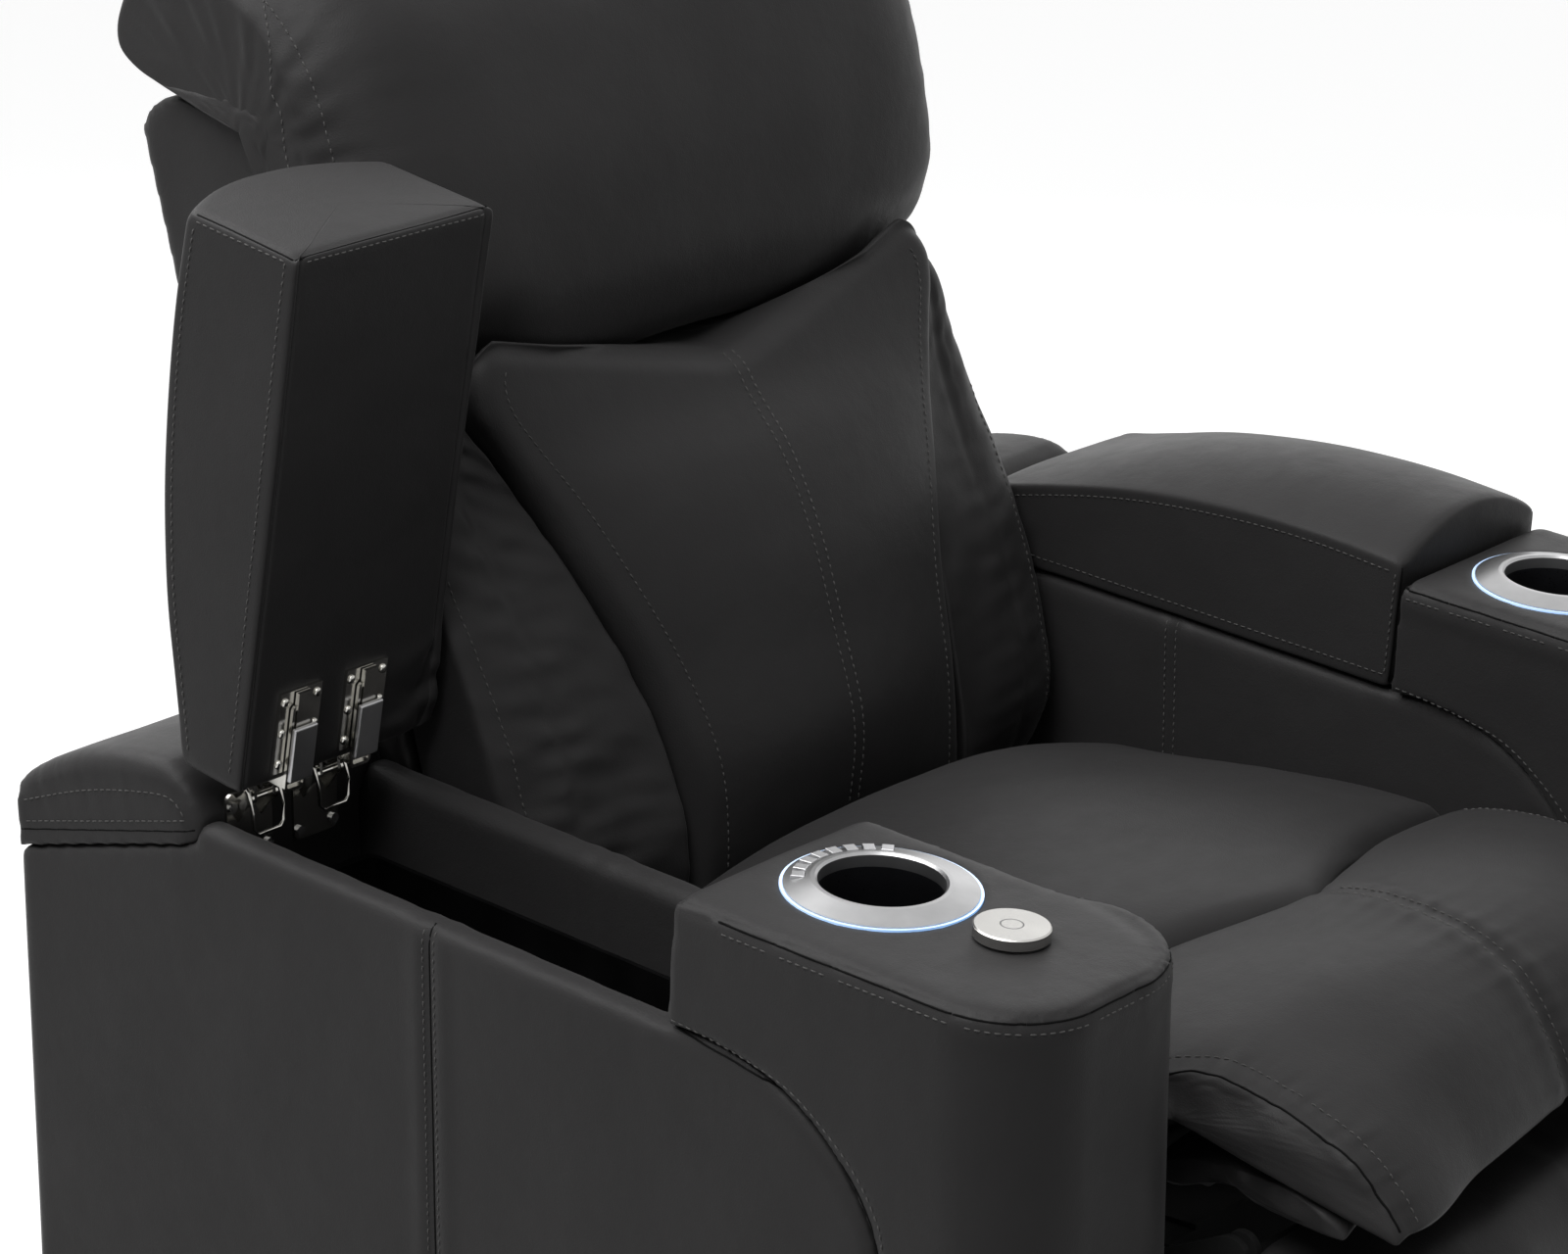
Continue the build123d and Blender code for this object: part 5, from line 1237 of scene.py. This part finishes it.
# ---------------------------------------------------------------- stage, camera and light
def clear_rays(tree):
    """1 for the rays that see the ground as plain white: camera, glossy and transmission."""
    path = add_node(tree, "LightPath")
    seen = math_node(tree, "MAXIMUM", path.outputs["Is Camera Ray"], path.outputs["Is Glossy Ray"])
    return math_node(tree, "MAXIMUM", seen, path.outputs["Is Transmission Ray"])


def make_stage():
    mesh = bpy.data.meshes.new("floor")
    mesh.from_pydata([(-9, -9, 0), (9, -9, 0), (9, 9, 0), (-9, 9, 0)], [], [(0, 1, 2, 3)])
    floor = link_object("floor", mesh)
    mat, tree, shader = new_material("pale_floor", (0.30, 0.30, 0.30), 0.7)
    lift = math_node(tree, "MULTIPLY", clear_rays(tree), 0.84)
    shader.inputs["Emission Color"].default_value = (1, 1, 1, 1)
    feed(shader, "Emission Strength", lift)
    mesh.materials.append(mat)


def make_world():
    world = bpy.data.worlds.new("studio")
    bpy.context.scene.world = world
    world.use_nodes = True
    tree = world.node_tree
    background = tree.nodes["Background"]
    background.inputs["Color"].default_value = (1, 1, 1, 1)
    map_range(tree, clear_rays(tree), background, "Strength", To_Min=0.03, To_Max=1.0)


def area_light(name, place, target, size, power):
    data = bpy.data.lights.new(name, "AREA")
    data.shape = "RECTANGLE"
    data.size, data.size_y = size
    data.energy = power
    lamp = link_object(name, data)
    lamp.location = place
    lamp.visible_camera = False
    lamp.rotation_euler = (Vector(target) - Vector(place)).to_track_quat("-Z", "Y").to_euler()


def make_camera():
    data = bpy.data.cameras.new("camera")
    data.lens, data.sensor_width, data.sensor_fit = 120.0, 36.0, "HORIZONTAL"
    camera = link_object("camera", data)
    place, target = Vector((-2.4355, -1.8292, 1.6371)), Vector((0, 0.160, 0.6032))
    camera.location = place
    camera.rotation_euler = (target - place).to_track_quat("-Z", "Y").to_euler()
    bpy.context.scene.camera = camera


make_stage()
make_world()
area_light("key", (-1.3, 0.1, 3.0), (0, 0, 0.6), (2.2, 2.2), 80)
area_light("far", (2.8, 1.6, 1.7), (0, 0, 0.6), (3.2, 2.2), 14)
area_light("behind", (-0.2, 2.3, 3.0), (0, 0.1, 0.7), (2.6, 1.6), 60)
make_camera()
bpy.context.scene.view_settings.view_transform = "Standard"
